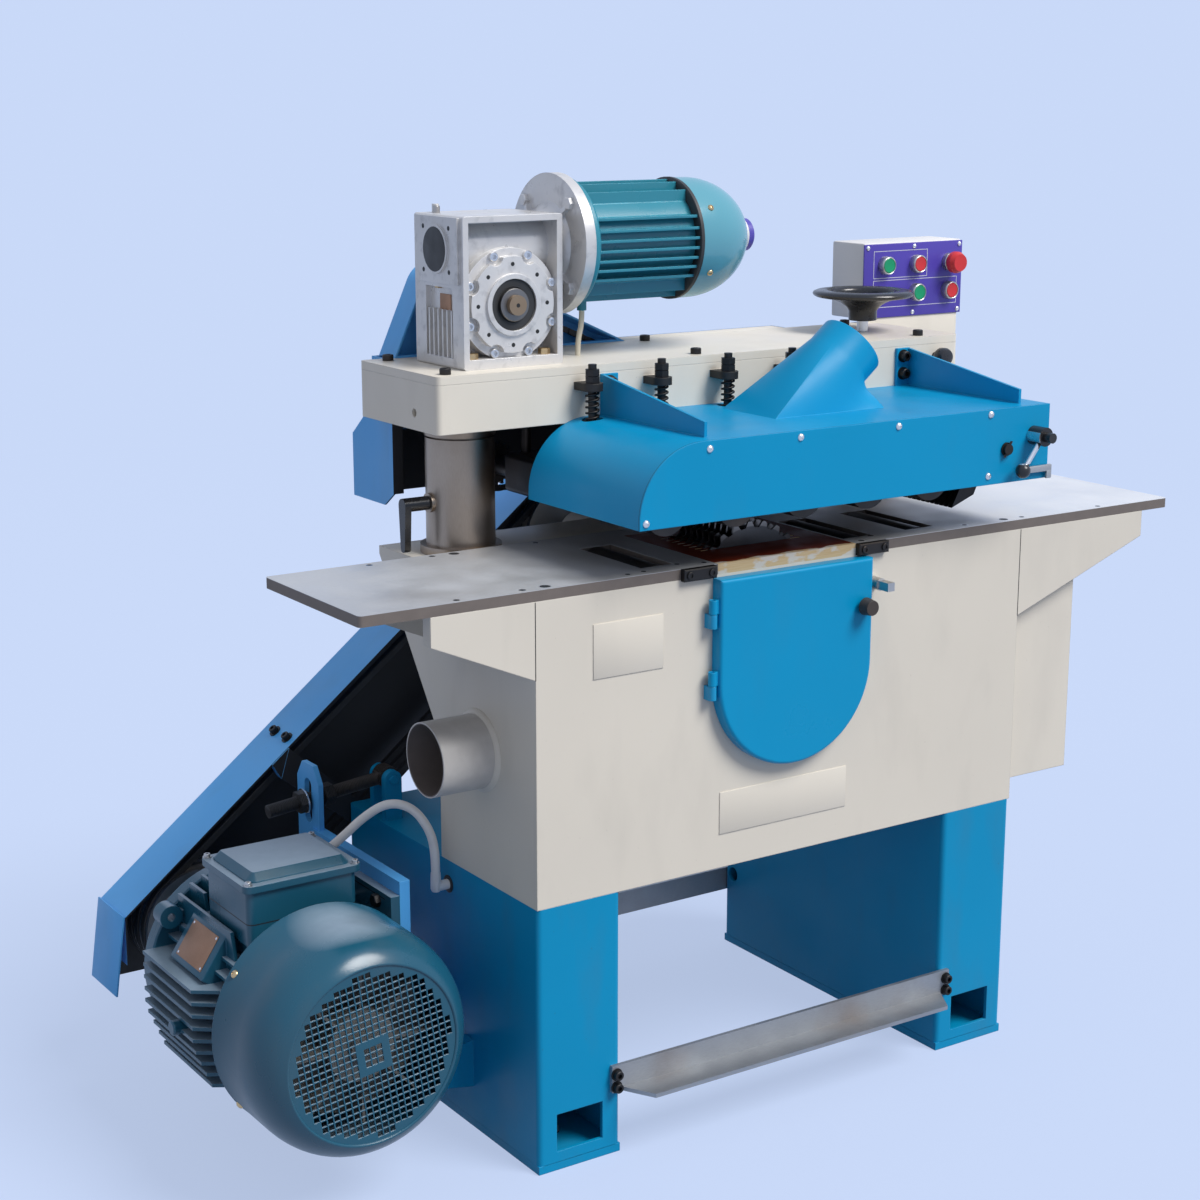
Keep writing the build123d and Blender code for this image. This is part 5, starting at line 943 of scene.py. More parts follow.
def hull_path(wheels, pitch):
    """Places at an even pitch round a closed run over wheels (x, z, radius)."""
    legs = []
    for (x1, z1, r1), (x2, z2, r2) in zip(wheels, wheels[1:] + wheels[:1]):
        span = hypot(x2 - x1, z2 - z1)
        lean = (r1 - r2) / span
        legs.append((atan2(z2 - z1, x2 - x1) - pi / 2 + lean, sqrt(span ** 2 - (r1 - r2) ** 2)))
    runs = []
    for index, (x, z, r) in enumerate(wheels):
        begin, (end, straight) = legs[index - 1][0], legs[index]
        runs.append((x, z, r, begin, (end - begin) % (2 * pi), straight))
    total = sum(r * turn + straight for x, z, r, begin, turn, straight in runs)
    count = 2 * round(total / pitch / 2)
    places = []
    for step in range(count):
        s = step * total / count
        for x, z, r, begin, turn, straight in runs:
            if s < r * turn + straight:
                angle = begin + min(s / r, turn)
                along = max(0.0, s - r * turn)
                places.append(Vector((x + r * cos(angle) - along * sin(angle), CHAIN_Y,
                                      z + r * sin(angle) + along * cos(angle))))
                break
            s -= r * turn + straight
    return places


class SAW_OT_chain(bpy.types.Operator):
    """String the roller chain round the feed sprockets"""
    bl_idname = "saw.chain"
    bl_label = "Feed chain"

    def execute(self, context):
        press_sprocket, feed_sprocket = 39.0, 26.5
        plate_radius, plate, inner_plate, outer_plate = 4.3, 1.2, 3.1, 4.3
        roller, pin = 3.6, 9.6
        wheels = [(PRESS_XS[0], PRESS_Z, press_sprocket), (PRESS_XS[-1], PRESS_Z, press_sprocket),
                  (OUT_AXIS.x, OUT_AXIS.z, feed_sprocket)]
        places = hull_path(wheels, context.scene.saw_sizes.chain_pitch)
        across = Matrix.Rotation(pi / 2, 4, "X")
        bm = bmesh.new()
        for number, (here, after) in enumerate(zip(places, places[1:] + places[:1])):
            along = (after - here).normalized()
            turn = Matrix.Rotation(-atan2(along.z, along.x), 4, "Y")
            offset = outer_plate if number % 2 else inner_plate
            for side in (-1, 1):
                at = (here + after) / 2 + BACK * side * offset
                link = bmesh.ops.create_cone(bm, cap_ends=True, segments=10, radius1=plate_radius,
                                             radius2=plate_radius, depth=plate,
                                             matrix=Matrix.Translation(at) @ turn @ across)["verts"]
                for end in (-1, 1):
                    half = [vert for vert in link if (vert.co - at).dot(along) * end > 0.1]
                    bmesh.ops.translate(bm, vec=along * end * (after - here).length / 2, verts=half)
            bmesh.ops.create_cone(bm, cap_ends=True, segments=8, radius1=roller, radius2=roller, depth=pin,
                                  matrix=Matrix.Translation(here) @ across)
        chain = finish_piece("roller_chain", bm, "black", None)
        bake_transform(chain)
        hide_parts("feed_chain")
        return {"FINISHED"}


class SAW_OT_fan_cowl(bpy.types.Operator):
    """Spin the saw motor's fan cowl and punch its square grille"""
    bl_idname = "saw.fan_cowl"
    bl_label = "Fan cowl"

    def swell(self, start, pull, end):
        """Points of the cowl's swelling front on a quadratic curve."""
        points = []
        for t in (step / 12 for step in range(13)):
            weights = ((1 - t) ** 2, 2 * t * (1 - t), t * t)
            parts = zip(start, pull, end)
            points.append(tuple(sum(w * v for w, v in zip(weights, values)) for values in parts))
        return points

    def execute(self, context):
        radius, flat, wall, lip = COWL_RADIUS, 126.0, 3.0, 128.0
        shoulder, swelling = (160.0, 20.0), 80.0
        length = COWL_BACK - COWL_FRONT
        outside = self.swell((flat, 0.4), shoulder, (radius - 0.5, swelling))
        inside = self.swell((flat - 1, wall + 1), (shoulder[0] - wall, shoulder[1] + 1),
                            (radius - wall - 0.5, swelling + 1))
        bead = [(flat - 3.8, 2.0), (flat - 3.2, 0.7), (flat - 2.0, 0.0), (flat - 0.6, 0.05)]
        rim = [(radius, length - 1.5), (radius + 0.8, length - 0.5), (radius + 0.8, length), (lip, length),
               (lip, length - wall), (radius - wall, length - wall)]
        ring = bead + outside + rim + inside[::-1] + [(flat - 3.8, wall + 1)]
        with piece("fan_cowl_shell", "saw_motor", "motor_base", "motor_green", 50) as bm:
            turned(bm, ring + ring[:1], BACK, MOTOR_AXIS + BACK * COWL_FRONT, 72)
        with piece("fan_grille", "saw_motor", "motor_base", "motor_green", instead="fan_cowl") as bm:
            self.punch(bm, flat - 3.4, context.scene.saw_sizes.grille_pitch)
            turn = Matrix.Rotation(radians(8), 4, "Z")
            at = MOTOR_AXIS + BACK * (COWL_FRONT + 2.0)
            bmesh.ops.transform(bm, matrix=facing(FRONT, at) @ turn, verts=bm.verts)
        return {"FINISHED"}

    def punch(self, bm, disc, pitch):
        """Round sheet of square holes about a plain square frame."""
        cells, sides, sheet = 2 * int(disc / pitch) + 3, 48, 2.5
        bmesh.ops.create_grid(bm, x_segments=cells, y_segments=cells, size=cells * pitch / 2)
        holes = []
        for face in bm.faces:
            centre = face.calc_center_median()
            column, row = round(centre.x / pitch), round(centre.y / pitch)
            if centre.length < disc - pitch and max(abs(column), abs(row)) != 2:
                holes.append(face)
        bmesh.ops.inset_individual(bm, faces=holes, thickness=pitch / 8, depth=0)
        bmesh.ops.delete(bm, geom=holes, context="FACES_ONLY")
        for step in range(sides):
            normal = Vector((cos(2 * pi * step / sides), sin(2 * pi * step / sides), 0))
            geom = list(bm.verts) + list(bm.edges) + list(bm.faces)
            bmesh.ops.bisect_plane(bm, geom=geom, plane_co=normal * disc, plane_no=normal, clear_outer=True)
        bmesh.ops.delete(bm, geom=[vert for vert in bm.verts if not vert.link_faces], context="VERTS")
        bmesh.ops.recalc_face_normals(bm, faces=bm.faces)
        bmesh.ops.solidify(bm, geom=list(bm.faces), thickness=sheet)


# Places of the hood's fittings on its front: screws (x, z), gusset bolts, the hooked stop bar, and the
# split pin's lean in radians
HOOD_SCREWS = ((-296, 915), (-194, 1005), (-41, 1007), (134, 1007), (309, 1009), (308, 919))
GUSSET_XS, GUSSET_ZS, GUSSET_WALL = (-172, 376), (1035, 1062), 5.0
BAR_LEFT, BAR_RIGHT, BAR_LOW, BAR_HIGH = 366, 428, 917, 927
HOOK_LEFT, HOOK_LOW = 418, 906
PIN_LEAN = 0.5


class SAW_OT_hood_fittings(bpy.types.Operator):
    """Fit the hood's screws, gusset bolts, split pin and hooked stop bar"""
    bl_idname = "saw.hood_fittings"
    bl_label = "Hood fittings"

    def execute(self, context):
        sizes = context.scene.saw_sizes
        with piece("hood_screws", "bright", "head", "bare_steel") as bm:
            for x, z in HOOD_SCREWS:
                pan_screw(bm, FRONT, (x, HOOD_FRONT, z), sizes.hood_screw)
        with piece("gusset_bolts", "black", "head", "black_steel") as bm:
            for x, z in product(GUSSET_XS, GUSSET_ZS):
                cap_screw(bm, FRONT, (x, BEAM_FRONT - GUSSET_WALL, z), sizes.cap_screw, washer=10.0)
        with piece("stop_bar", "steel", "head", "bare_steel") as bm:
            front, back = HOOD_FRONT - 8, HOOD_FRONT - 3
            boxed(bm, (BAR_LEFT, front, BAR_LOW), (BAR_RIGHT, back, BAR_HIGH), 1.5)
            boxed(bm, (HOOK_LEFT, front, HOOK_LOW), (BAR_RIGHT, back, BAR_LOW + 3), 1.5)
            rod(bm, 5, 0, 9, FRONT, (BAR_LEFT + 6, HOOD_FRONT, (BAR_LOW + BAR_HIGH) / 2), 16)
        with piece("finger_split_pin", "black", "fingers", "black_steel") as bm:
            pin = Vector((FINGER_PIN.x, HOOD_FRONT, FINGER_PIN.z))
            lean = Vector((sin(PIN_LEAN), 0, cos(PIN_LEAN)))
            rod(bm, 10, 0, 2, FRONT, pin + FRONT * 0.5)
            for side in (LEFT, RIGHT):
                rod(bm, 1.1, -13, 13, lean, pin + FRONT * 4.5 + side * 1.2, 8)
        return {"FINISHED"}


# Places of the head's fittings: cover bolts (x, y), the clamp knob and the ends of the strip behind the beam
COVER_BOLTS = ((-425, -34), (-3, -34), (428, -34), (-417, 145), (30, 145), (428, 145))
KNOB_X, KNOB_Z = 446, 1057
STRIP_LEFT, STRIP_RIGHT, STRIP_WIDTH = 5, 325, 37


class SAW_OT_head_fittings(bpy.types.Operator):
    """Fit the head's cover bolts, clamp knob, back strip and spring washers"""
    bl_idname = "saw.head_fittings"
    bl_label = "Head fittings"

    def execute(self, context):
        with piece("cover_bolts", "black", "head", "black_steel") as bm:
            for x, y in COVER_BOLTS:
                cap_screw(bm, UP, (x, y, HEAD_TOP), context.scene.saw_sizes.cap_screw)
        with piece("head_clamp_knob", "black_plastic", "head", "wheel_black") as bm:
            turned(bm, [(0, 0), (6, 0), (6, 8), (11, 9), (14, 14), (14.5, 24), (12, 29), (6, 31), (0, 31)],
                   FRONT, (KNOB_X, BEAM_FRONT, KNOB_Z), 24)
        with piece("beam_back_strip", "beam", "head", "cream_paint") as bm:
            boxed(bm, (STRIP_LEFT, BEAM_BACK, HEAD_TOP - 3),
                  (STRIP_RIGHT, BEAM_BACK + STRIP_WIDTH, HEAD_TOP), 0.5)
        with piece("spring_washers", "black", "head", "black_steel") as bm:
            for x in PRESS_XS:
                collar(bm, 6.4, 13, 1.8, UP, (x, ROD_LINE, SEAT_Z - 1.0), 20)
        return {"FINISHED"}


# Screw holes seen on the table: (x, y, radius)
TABLE_HOLES = [(-409, -261, 7), (-406, -17, 7), (-445, -263, 4), (-545, -265, 4), (-440, -15, 4),
               (-540, -18, 4), (-278, -261, 4), (-250, -258, 4), (-272, -17, 4), (-186, -246, 4),
               (-148, -257, 4), (162, -244, 4), (128, -263, 4), (409, -261, 7), (406, -17, 7),
               (445, -263, 4), (605, -265, 4), (440, -15, 4), (600, -18, 4), (330, -261, 4),
               (322, -17, 4)]

# Places of the bed's fittings: screws and bolts, bare plates (left, right, low, high) and wing seams (x, low)
CLAMP_XS = (-191.0, -154.0, 117.0, 154.0)
BRACE_XS, BRACE_ZS = (-308.0, 308.0), (103.0, 122.0)
BARE_PLATES = ((-343, -229, 699, 775), (-130, 100, 440, 502))
WING_SEAMS, WING_TOP = ((BED_LEFT, 711), (BED_RIGHT, 683)), 817


class SAW_OT_bed_fittings(bpy.types.Operator):
    """Fit the table's screw holes, clamp screws, brace bolts, bare plates, seams and skirts of the bed"""
    bl_idname = "saw.bed_fittings"
    bl_label = "Bed fittings"

    def execute(self, context):
        self.table()
        self.bolts()
        self.sheets()
        return {"FINISHED"}

    def table(self):
        """Screw holes of the table and screws of its clamps."""
        with piece("table_screw_recesses", "recess", "bed", "black_steel") as bm:
            for x, y, radius in TABLE_HOLES:
                drilled(bm, radius, UP, (x, y, TABLE_TOP), 20)
        with piece("table_hole_rims", "bright", "bed", "ground_steel") as bm:
            for x, y, radius in TABLE_HOLES:
                rim = radius + 0.9
                turned(bm, [(radius, -1), (radius, 0.12), (rim, 0.05), (rim, -1), (radius, -1)], UP,
                       (x, y, TABLE_TOP), 20)
        with piece("clamp_screws", "black", "bed", "black_steel") as bm:
            for x in CLAMP_XS:
                cap_screw(bm, FRONT, (x, CLAMP_FRONT, CLAMP_Z), 5.5, 2.5)

    def bolts(self):
        """Bolts of the braces and studs of the floor anchors."""
        wall = BRACE_BACK - BED_BACK
        with piece("brace_bolts", "black", "bed", "black_steel") as bm:
            for x, z in product(BRACE_XS, BRACE_ZS):
                cap_screw(bm, FRONT, (x, BED_FRONT - wall, z), 7.0, washer=9.0)
                cap_screw(bm, BACK, (x, BED_BACK + wall, z), 7.0, washer=9.0)
        spacing = MOUNTS["floor_anchor"]["dims"]
        across, deep = spacing["spacing_x_mm"] / 2, spacing["spacing_y_mm"] / 2
        with piece("anchor_studs", "steel", "bed", "bare_steel") as bm:
            for x, y in product((-across, across), (-deep, deep)):
                hexagon(bm, UP, (x, y, PAD_TOP), 19, 10)
                turned(bm, [(0, 0), (5.8, 0), (5.8, 42), (4.6, 44), (0, 44)], UP, (x, y, PAD_TOP), 16)

    def sheets(self):
        """Bare plates, wing seams, the pipe's weld and the skirts that reach the floor."""
        with piece("bare_plates", "trim", "bed", "cream_paint") as bm:
            for left, right, low, high in BARE_PLATES:
                boxed(bm, (left, BED_FRONT - 1.2, low), (right, BED_FRONT + 1, high), 0.4)
        with piece("wing_seams", "recess", "bed", "cream_paint") as bm:
            for x, low in WING_SEAMS:
                boxed(bm, (x - 0.6, BED_FRONT - 0.25, low), (x + 0.6, BED_FRONT + 1, WING_TOP))
        with piece("pipe_weld", "trim", "bed", "cream_paint") as bm:
            foot, aim = outlet("bed_dust_outlet")
            turned(bm, [(52.2, 6), (55.5, 4.5), (58.5, 1.5), (59.5, -0.5), (52.2, -0.5), (52.2, 6)],
                   aim, foot, 48)
        wall, low, high = 3, 0.3, 12.5
        with piece("pedestal_skirts", "pedestal", "bed", "blue_paint") as bm:
            for left, right in ((BED_LEFT, -PEDESTAL_INSIDE), (PEDESTAL_INSIDE, BED_RIGHT)):
                boxed(bm, (left, BED_FRONT, low), (right, BED_FRONT + wall, high))
                boxed(bm, (left, BED_BACK - wall, low), (right, BED_BACK, high))
                for x in (left, right - wall):
                    boxed(bm, (x, BED_FRONT + wall, low), (x + wall, BED_BACK - wall, high))


# Worm gearbox: vent plug, bolt on the case's left side, bare plate (front, back, low, high), and how far
# the side holes and the foot bolts stand in front of the worm's axis and behind it
VENT = (-368.0, 84.0, 1297.0)
SIDE_BOLT = (GEAR_LEFT + 8, 57.0, 1203.0)
GEAR_PLATE = (27.0, 57.0, 1166.0, 1189.0)
SIDE_HOLES, FOOT_BOLTS = 35.5, 53.5


class SAW_OT_gearbox_fittings(bpy.types.Operator):
    """Fit the worm gearbox's screws, seal, hub, end cap, plug, bare plate and bolts"""
    bl_idname = "saw.gearbox_fittings"
    bl_label = "Gearbox fittings"

    def execute(self, context):
        self.output()
        self.case()
        return {"FINISHED"}

    def output(self):
        """Cover screws, seal, hub and centre of the output."""
        cover = OUT_AXIS + BACK * (GEAR_FRONT + 2)
        with piece("cover_screws", "bright", "head", "bare_steel") as bm:
            for step in range(8):
                cap_screw(bm, FRONT, on_ring(cover + BACK * 10, 72, step * pi / 4 + pi / 8), 6.5, 7.0)
        with piece("tapped_holes", "recess", "head", "black_steel") as bm:
            for step in range(8):
                drilled(bm, 3, FRONT, on_ring(cover, 56, step * pi / 4))
            for y, z in product((-SIDE_HOLES, SIDE_HOLES), (-30, 30)):
                drilled(bm, 3.4, LEFT, WORM_AXIS + Vector((GEAR_LEFT - 4, y, z)))
        with piece("output_seal", "seal", "head", "belt_rubber") as bm:
            turned(bm, [(35.6, 0), (35.6, 2.6), (34, 3.2), (27, 1.6), (25, 1.6), (24, 0.6), (15.6, 0.4),
                        (15.6, 0), (35.6, 0)], FRONT, OUT_AXIS + BACK * (GEAR_FRONT + 4), 48)
        with piece("output_hub", "roller", "feed_drive", "bare_steel") as bm:
            turned(bm, [(14.2, 0), (23, 0), (23, 3.6), (22, 4.6), (14.2, 5), (14.2, 0)], FRONT,
                   OUT_AXIS + BACK * (GEAR_FRONT + 0.4), 40)
        with piece("shaft_centre", "recess", "feed_drive", "black_steel") as bm:
            drilled(bm, 3, FRONT, OUT_AXIS + BACK * SHAFT_END)

    def case(self):
        """End cap, vent plug, bare plate and bolts of the case."""
        with piece("worm_end_cap", "seal", "head", "belt_rubber") as bm:
            turned(bm, [(0, 1.0), (28.5, 0.9), (30.7, 0.4), (31.5, -0.5), (0, -0.5)], LEFT,
                   WORM_AXIS + RIGHT * (GEAR_LEFT - 7), 40)
        with piece("vent_plug", "steel", "head", "bare_steel") as bm:
            turned(bm, [(0, 0), (5, 0), (5, 10), (4.2, 11), (2, 11), (2, 9), (0, 9)], UP, VENT, 20)
        with piece("gearbox_bare_plate", "plate", "head", "bare_steel") as bm:
            front, back, low, high = GEAR_PLATE
            boxed(bm, (GEAR_LEFT + 6.6, front, low), (GEAR_LEFT + 8.4, back, high), 0.3)
        with piece("case_bolts", "brass", "head", "bare_steel") as bm:
            hexagon(bm, LEFT, SIDE_BOLT, 13, 7)
            for x, y in product((OUT_AXIS.x - 60, OUT_AXIS.x + 58), (-FOOT_BOLTS, FOOT_BOLTS)):
                hexagon(bm, UP, (x, WORM_AXIS.y + y, HEAD_TOP + 14), 15, 8)
        with piece("flange_bolts", "cast", "head", "cast_aluminium") as bm:
            for step in range(4):
                at = on_ring(WORM_AXIS + RIGHT * FLANGE_X, 84, step * pi / 2 + pi / 4, "X")
                hexagon(bm, LEFT, at, 16, 7)


def fin(bm, low, high, outer, cut):
    """Cast fin between two corners, its front outer corner cut back along the motor."""
    shape = block(low, high)
    front = min(vert.co.y for vert in shape.verts)
    edge = max(vert.co.dot(outer) for vert in shape.verts)
    corner = [vert for vert in shape.verts if vert.co.y < front + 1 and vert.co.dot(outer) > edge - 1]
    bmesh.ops.translate(shape, vec=BACK * cut, verts=corner)
    joined(bm, shape)


class SAW_OT_saw_motor(bpy.types.Operator):
    """Cast the saw motor's fins, end ring, ear, boss and plate seat, and rivet its bare plate"""
    bl_idname = "saw.saw_motor"
    bl_label = "Saw motor"

    def execute(self, context):
        seat = Matrix.Translation(MOTOR_AXIS + BACK * NAMEPLATE_Y) @ Matrix.Rotation(-NAMEPLATE_TILT, 4, "Y")
        with piece("saw_motor_fins", "saw_motor", "motor_base", "motor_green") as bm:
            self.fins(bm)
            ring = [(60, 0), (137, 0), (139, 2), (139, 24), (134, 30), (118, 34), (62, 54), (60, 54), (60, 0)]
            turned(bm, ring, BACK, MOTOR_AXIS + BACK * 148, 64)
            collar(bm, 6, 17, 26, BACK, on_ring(MOTOR_AXIS + BACK * 124, 144, radians(142)))
            boss = MOTOR_AXIS + Vector((-102, 30, -33))
            turned(bm, [(0, 0), (11, 0), (11, 56), (9, 58), (0, 58)], LEFT, boss, 24)
            boxed(bm, (-36, -55, 84), (36, 55, NAMEPLATE_OUT), 3, seat)
        with piece("bare_nameplate", "plate", "motor_base", "bare_steel") as bm:
            boxed(bm, (-27, -41, NAMEPLATE_OUT - 0.5), (27, 41, NAMEPLATE_OUT + 0.9), 0.3, seat)
        with piece("nameplate_rivets", "bright", "motor_base", "bare_steel") as bm:
            normal = Vector((-sin(NAMEPLATE_TILT), 0, cos(NAMEPLATE_TILT)))
            for x, y in product((-23.0, 23.0), (-37.0, 37.0)):
                turned(bm, [(0, 1.1), (1.2, 0.9), (2.0, 0.2), (2.0, -0.3), (0, -0.3)], normal,
                       seat @ Vector((x, y, NAMEPLATE_OUT + 0.8)), 12)
        return {"FINISHED"}

    def fins(self, bm):
        """Level fins on the left, upright fins below and above, and the rib at the lower corner."""
        core, pitch, half, flat, slack = 100.0, 18.0, 2.6, 45.0, 0.4
        front, back = -60.0, 149.0
        x, z = MOTOR_AXIS.x, MOTOR_AXIS.z
        for step in range(-6, 3):
            rise = step * pitch
            reach = 149 - slack * max(0.0, abs(rise) - flat)
            inner = sqrt(max(core ** 2 - rise ** 2, 60 ** 2))
            fin(bm, (x - reach, front, z + rise - half), (x - inner, back, z + rise + half), LEFT, 40)
        for step in range(-3, 5):
            side = step * pitch
            reach = 150 - slack * max(0.0, abs(side) - flat)
            inner = sqrt(core ** 2 - side ** 2)
            fin(bm, (x + side - half, front, z - reach), (x + side + half, back, z - inner), -UP, 40)
        for side, begin in ((-54, 78), (-72, 78), (-90, -50)):
            top = z + sqrt(144 ** 2 - side ** 2)
            fin(bm, (x + side - half, begin, z + 40), (x + side + half, back, top), UP, 20)
        corner = Matrix.Translation(MOTOR_AXIS) @ Matrix.Rotation(radians(45), 4, "Y")
        boxed(bm, (-8, front, -148), (8, back, -90), 0, corner)


# Fins of the feed motor: rises of those at its sides, and offsets of those above and below
SIDE_FINS = (36.0, 19.5, 5.4, -8.7, -22.8, -36.2, -50.0)
CROWN_FINS = (-46.0, -22.0, 0.0, 22.0, 46.0)


class SAW_OT_feed_motor(bpy.types.Operator):
    """Cast the feed motor's finned body and press its domed cowl"""
    bl_idname = "saw.feed_motor"
    bl_label = "Feed motor"

    def execute(self, context):
        end = FEED_COWL_X - 2
        with piece("feed_motor_body", "feed_motor", "head", "feed_motor_green", instead="feed_motor") as bm:
            self.body(bm, end)
        with piece("feed_cowl_seal", "seal", "head", "belt_rubber") as bm:
            turned(bm, [(70, 0), (88, 0), (89.5, 1), (89.5, 6), (70, 6), (70, 0)], RIGHT,
                   WORM_AXIS + RIGHT * end, 64)
        dome, start, straight, flat, lip = 103.0, FEED_COWL_X + 4, 22.0, radians(80), 80
        tail = straight + dome * sin(flat)
        sweep = [flat * step / 16 for step in range(17)]
        outside = [(FEED_COWL_RADIUS * cos(angle), straight + dome * sin(angle)) for angle in sweep]
        with piece("feed_cowl", "feed_cowl", "head", "feed_motor_green", 45) as bm:
            turned(bm, [(0, 2), (lip, 2), (lip, 0), (FEED_COWL_RADIUS, 0)] + outside + [(0, tail)], RIGHT,
                   WORM_AXIS + RIGHT * start, 64)
        end_plate = WORM_AXIS + RIGHT * (start + tail)
        with piece("feed_cowl_plate", "box", "head", "box_grey") as bm:
            rod(bm, 27, -2, 5, RIGHT, end_plate, 32)
        with piece("feed_cowl_cap", "cap", "head", "panel_blue") as bm:
            turned(bm, [(0, 0), (24.5, 0), (24.5, 11), (22.5, 13), (0, 13)], RIGHT, end_plate + RIGHT * 5, 32)
        with piece("feed_cowl_screws", "brass", "head", "bare_steel") as bm:
            for angle in (radians(32), radians(148), radians(212), radians(328)):
                at = on_ring(WORM_AXIS + RIGHT * (start + 20), FEED_COWL_RADIUS, angle, "X")
                pan_screw(bm, (0, cos(angle), sin(angle)), at, 5.0)
        return {"FINISHED"}

    def body(self, bm, end):
        """Flange, round core, fins and the cable's gland."""
        core, tip, half, left = 74.0, 86.0, 2.0, FEED_LEFT + 12
        y, z = WORM_AXIS.y, WORM_AXIS.z
        length = end - FEED_LEFT
        turned(bm, [(0, 0), (95, 0), (95, 9), (92, 13), (core, 13), (core, length), (0, length)], RIGHT,
               WORM_AXIS + RIGHT * FEED_LEFT, 64)
        for rise, side in product(SIDE_FINS, (-1, 1)):
            reach, inner = sqrt(tip ** 2 - rise ** 2), sqrt(core ** 2 - rise ** 2) - 3
            low, high = sorted((y + side * inner, y + side * reach))
            boxed(bm, (left, low, z + rise - half), (end, high, z + rise + half))
        for offset, side in product(CROWN_FINS, (-1, 1)):
            reach, inner = sqrt(tip ** 2 - offset ** 2), sqrt(core ** 2 - offset ** 2) - 24
            low, high = sorted((z + side * inner, z + side * reach))
            boxed(bm, (left, y + offset - half, low), (end, y + offset + half, high))
        rod(bm, 7, 0, 30, UP, CABLE_ROUTE[0], 20)


# Bolts on the left face of the saw motor's plate
FOOT_X, FOOT_YS, FOOT_ZS = -561.0, (-60.0, 60.0), (365.0, 150.0)


class SAW_OT_motor_fittings(bpy.types.Operator):
    """Fit the saw motor's screws and bolts"""
    bl_idname = "saw.motor_fittings"
    bl_label = "Motor fittings"

    def execute(self, context):
        with piece("lid_screws", "steel", "motor_base", "bare_steel") as bm:
            for x, y in product((MOTOR_AXIS.x - 80, MOTOR_AXIS.x + 80), (-67.0, 67.0)):
                cap_screw(bm, UP, (x, y, LID_Z), 4.6, 4.0, 6.2)
        with piece("saw_cowl_screws", "brass", "motor_base", "bare_steel") as bm:
            for angle in (radians(36), radians(144), radians(-36), radians(-144)):
                at = on_ring(MOTOR_AXIS + BACK * (COWL_BACK - 12), COWL_RADIUS, angle)
                pan_screw(bm, (cos(angle), 0, sin(angle)), at, 6.0)
        with piece("motor_bolts", "black", "motor_base", "black_steel") as bm:
            for step in range(4):
                hexagon(bm, BACK, on_ring(MOTOR_AXIS + BACK * 179, 125, pi / 4 + step * pi / 2), 15, 8)
            for y, z in product(FOOT_YS, FOOT_ZS):
                hexagon(bm, LEFT, (FOOT_X, y, z), 17, 9)
        return {"FINISHED"}


# Belt guard: place of its bolts, ends of its flap, and outline (x, z) of the skirt behind the motor's pulley;
# then the tension rod's eye, its slope and how far along it the washer sits
GUARD_BOLT_X, GUARD_BOLT_YS, GUARD_RISE = -522.0, (300.0, 342.0), 108.0
FLAP_TOP, FLAP_LOW = Vector((-804, 0, 282)), Vector((-821, 0, 159.5))
FLAP_FRONT, FLAP_BACK = 276, GUARD_BACK + 1
SKIRT = ((-815, 152), (-616, 152), (-549, 206), (-802, 206))
ROD_EYE, ROD_SLOPE, ROD_WASHER = Vector((-413, 190, 453)), radians(6.1), 136.5


class SAW_OT_guard_fittings(bpy.types.Operator):
    """Fit the belt guard's bolts, flap and skirt, and the tension rod's washer"""
    bl_idname = "saw.guard_fittings"
    bl_label = "Guard fittings"

    def execute(self, context):
        normal = Vector((-sin(BELT_SLOPE), 0, cos(BELT_SLOPE)))
        along = Vector((cos(BELT_SLOPE), 0, sin(BELT_SLOPE)))
        foot = MOTOR_AXIS + normal * GUARD_RISE
        bolts = foot + along * (GUARD_BOLT_X - foot.x) / along.x
        with piece("guard_bolts", "black", "bed", "black_steel") as bm:
            for y in GUARD_BOLT_YS:
                cap_screw(bm, normal, bolts + BACK * y, 6.5, washer=9.5)
        rise = FLAP_TOP - FLAP_LOW
        lean = Matrix.Translation(FLAP_LOW) @ Matrix.Rotation(atan2(rise.x, rise.z), 4, "Y")
        with piece("guard_flap", "guard", "bed", "guard_blue") as bm:
            boxed(bm, (-2.5, FLAP_FRONT, 0), (0.5, FLAP_BACK, rise.length), 0.8, lean)
        # Painted shade: the guard's sheet behind the motor's pulley made near black
        with piece("guard_back_skirt", "recess", "bed", "guard_blue") as bm:
            sheet = bm.faces.new([bm.verts.new((x, GUARD_BACK, z)) for x, z in SKIRT])
            made = bmesh.ops.extrude_face_region(bm, geom=[sheet])["geom"]
            bmesh.ops.translate(bm, vec=FRONT * 3, verts=of_kind(made, bmesh.types.BMVert))
            bmesh.ops.recalc_face_normals(bm, faces=bm.faces)
        with piece("rod_washer", "bright", "bed", "bare_steel") as bm:
            aim = Vector((-cos(ROD_SLOPE), 0, -sin(ROD_SLOPE)))
            collar(bm, 10.6, 19, 2.2, aim, ROD_EYE + aim * ROD_WASHER, 28)
        return {"FINISHED"}


def outlet(mount):
    """Foot and direction of a round dust outlet, in millimetres."""
    aim = Vector(MOUNTS[mount]["axis"])
    return Vector(MOUNTS[mount]["pos_m"]) / MM - aim * MOUNTS[mount]["dims"]["length_mm"], aim


def trimmed(bm, node, mount, reach, cut):
    """Copy of a node whose round outlet, past a reach from its foot, is drawn back along its axis."""
    foot, aim = outlet(mount)
    bm.from_mesh(NODES[node].data)
    bmesh.ops.scale(bm, vec=(1 / MM, 1 / MM, 1 / MM), verts=bm.verts)
    bmesh.ops.remove_doubles(bm, verts=bm.verts, dist=1e-3)
    end = []
    for vert in bm.verts:
        along = (vert.co - foot).dot(aim)
        if along > reach and (vert.co - foot - aim * along).length < OUTLET_LIMIT:
            end.append(vert)
    bmesh.ops.translate(bm, vec=-aim * cut, verts=end)


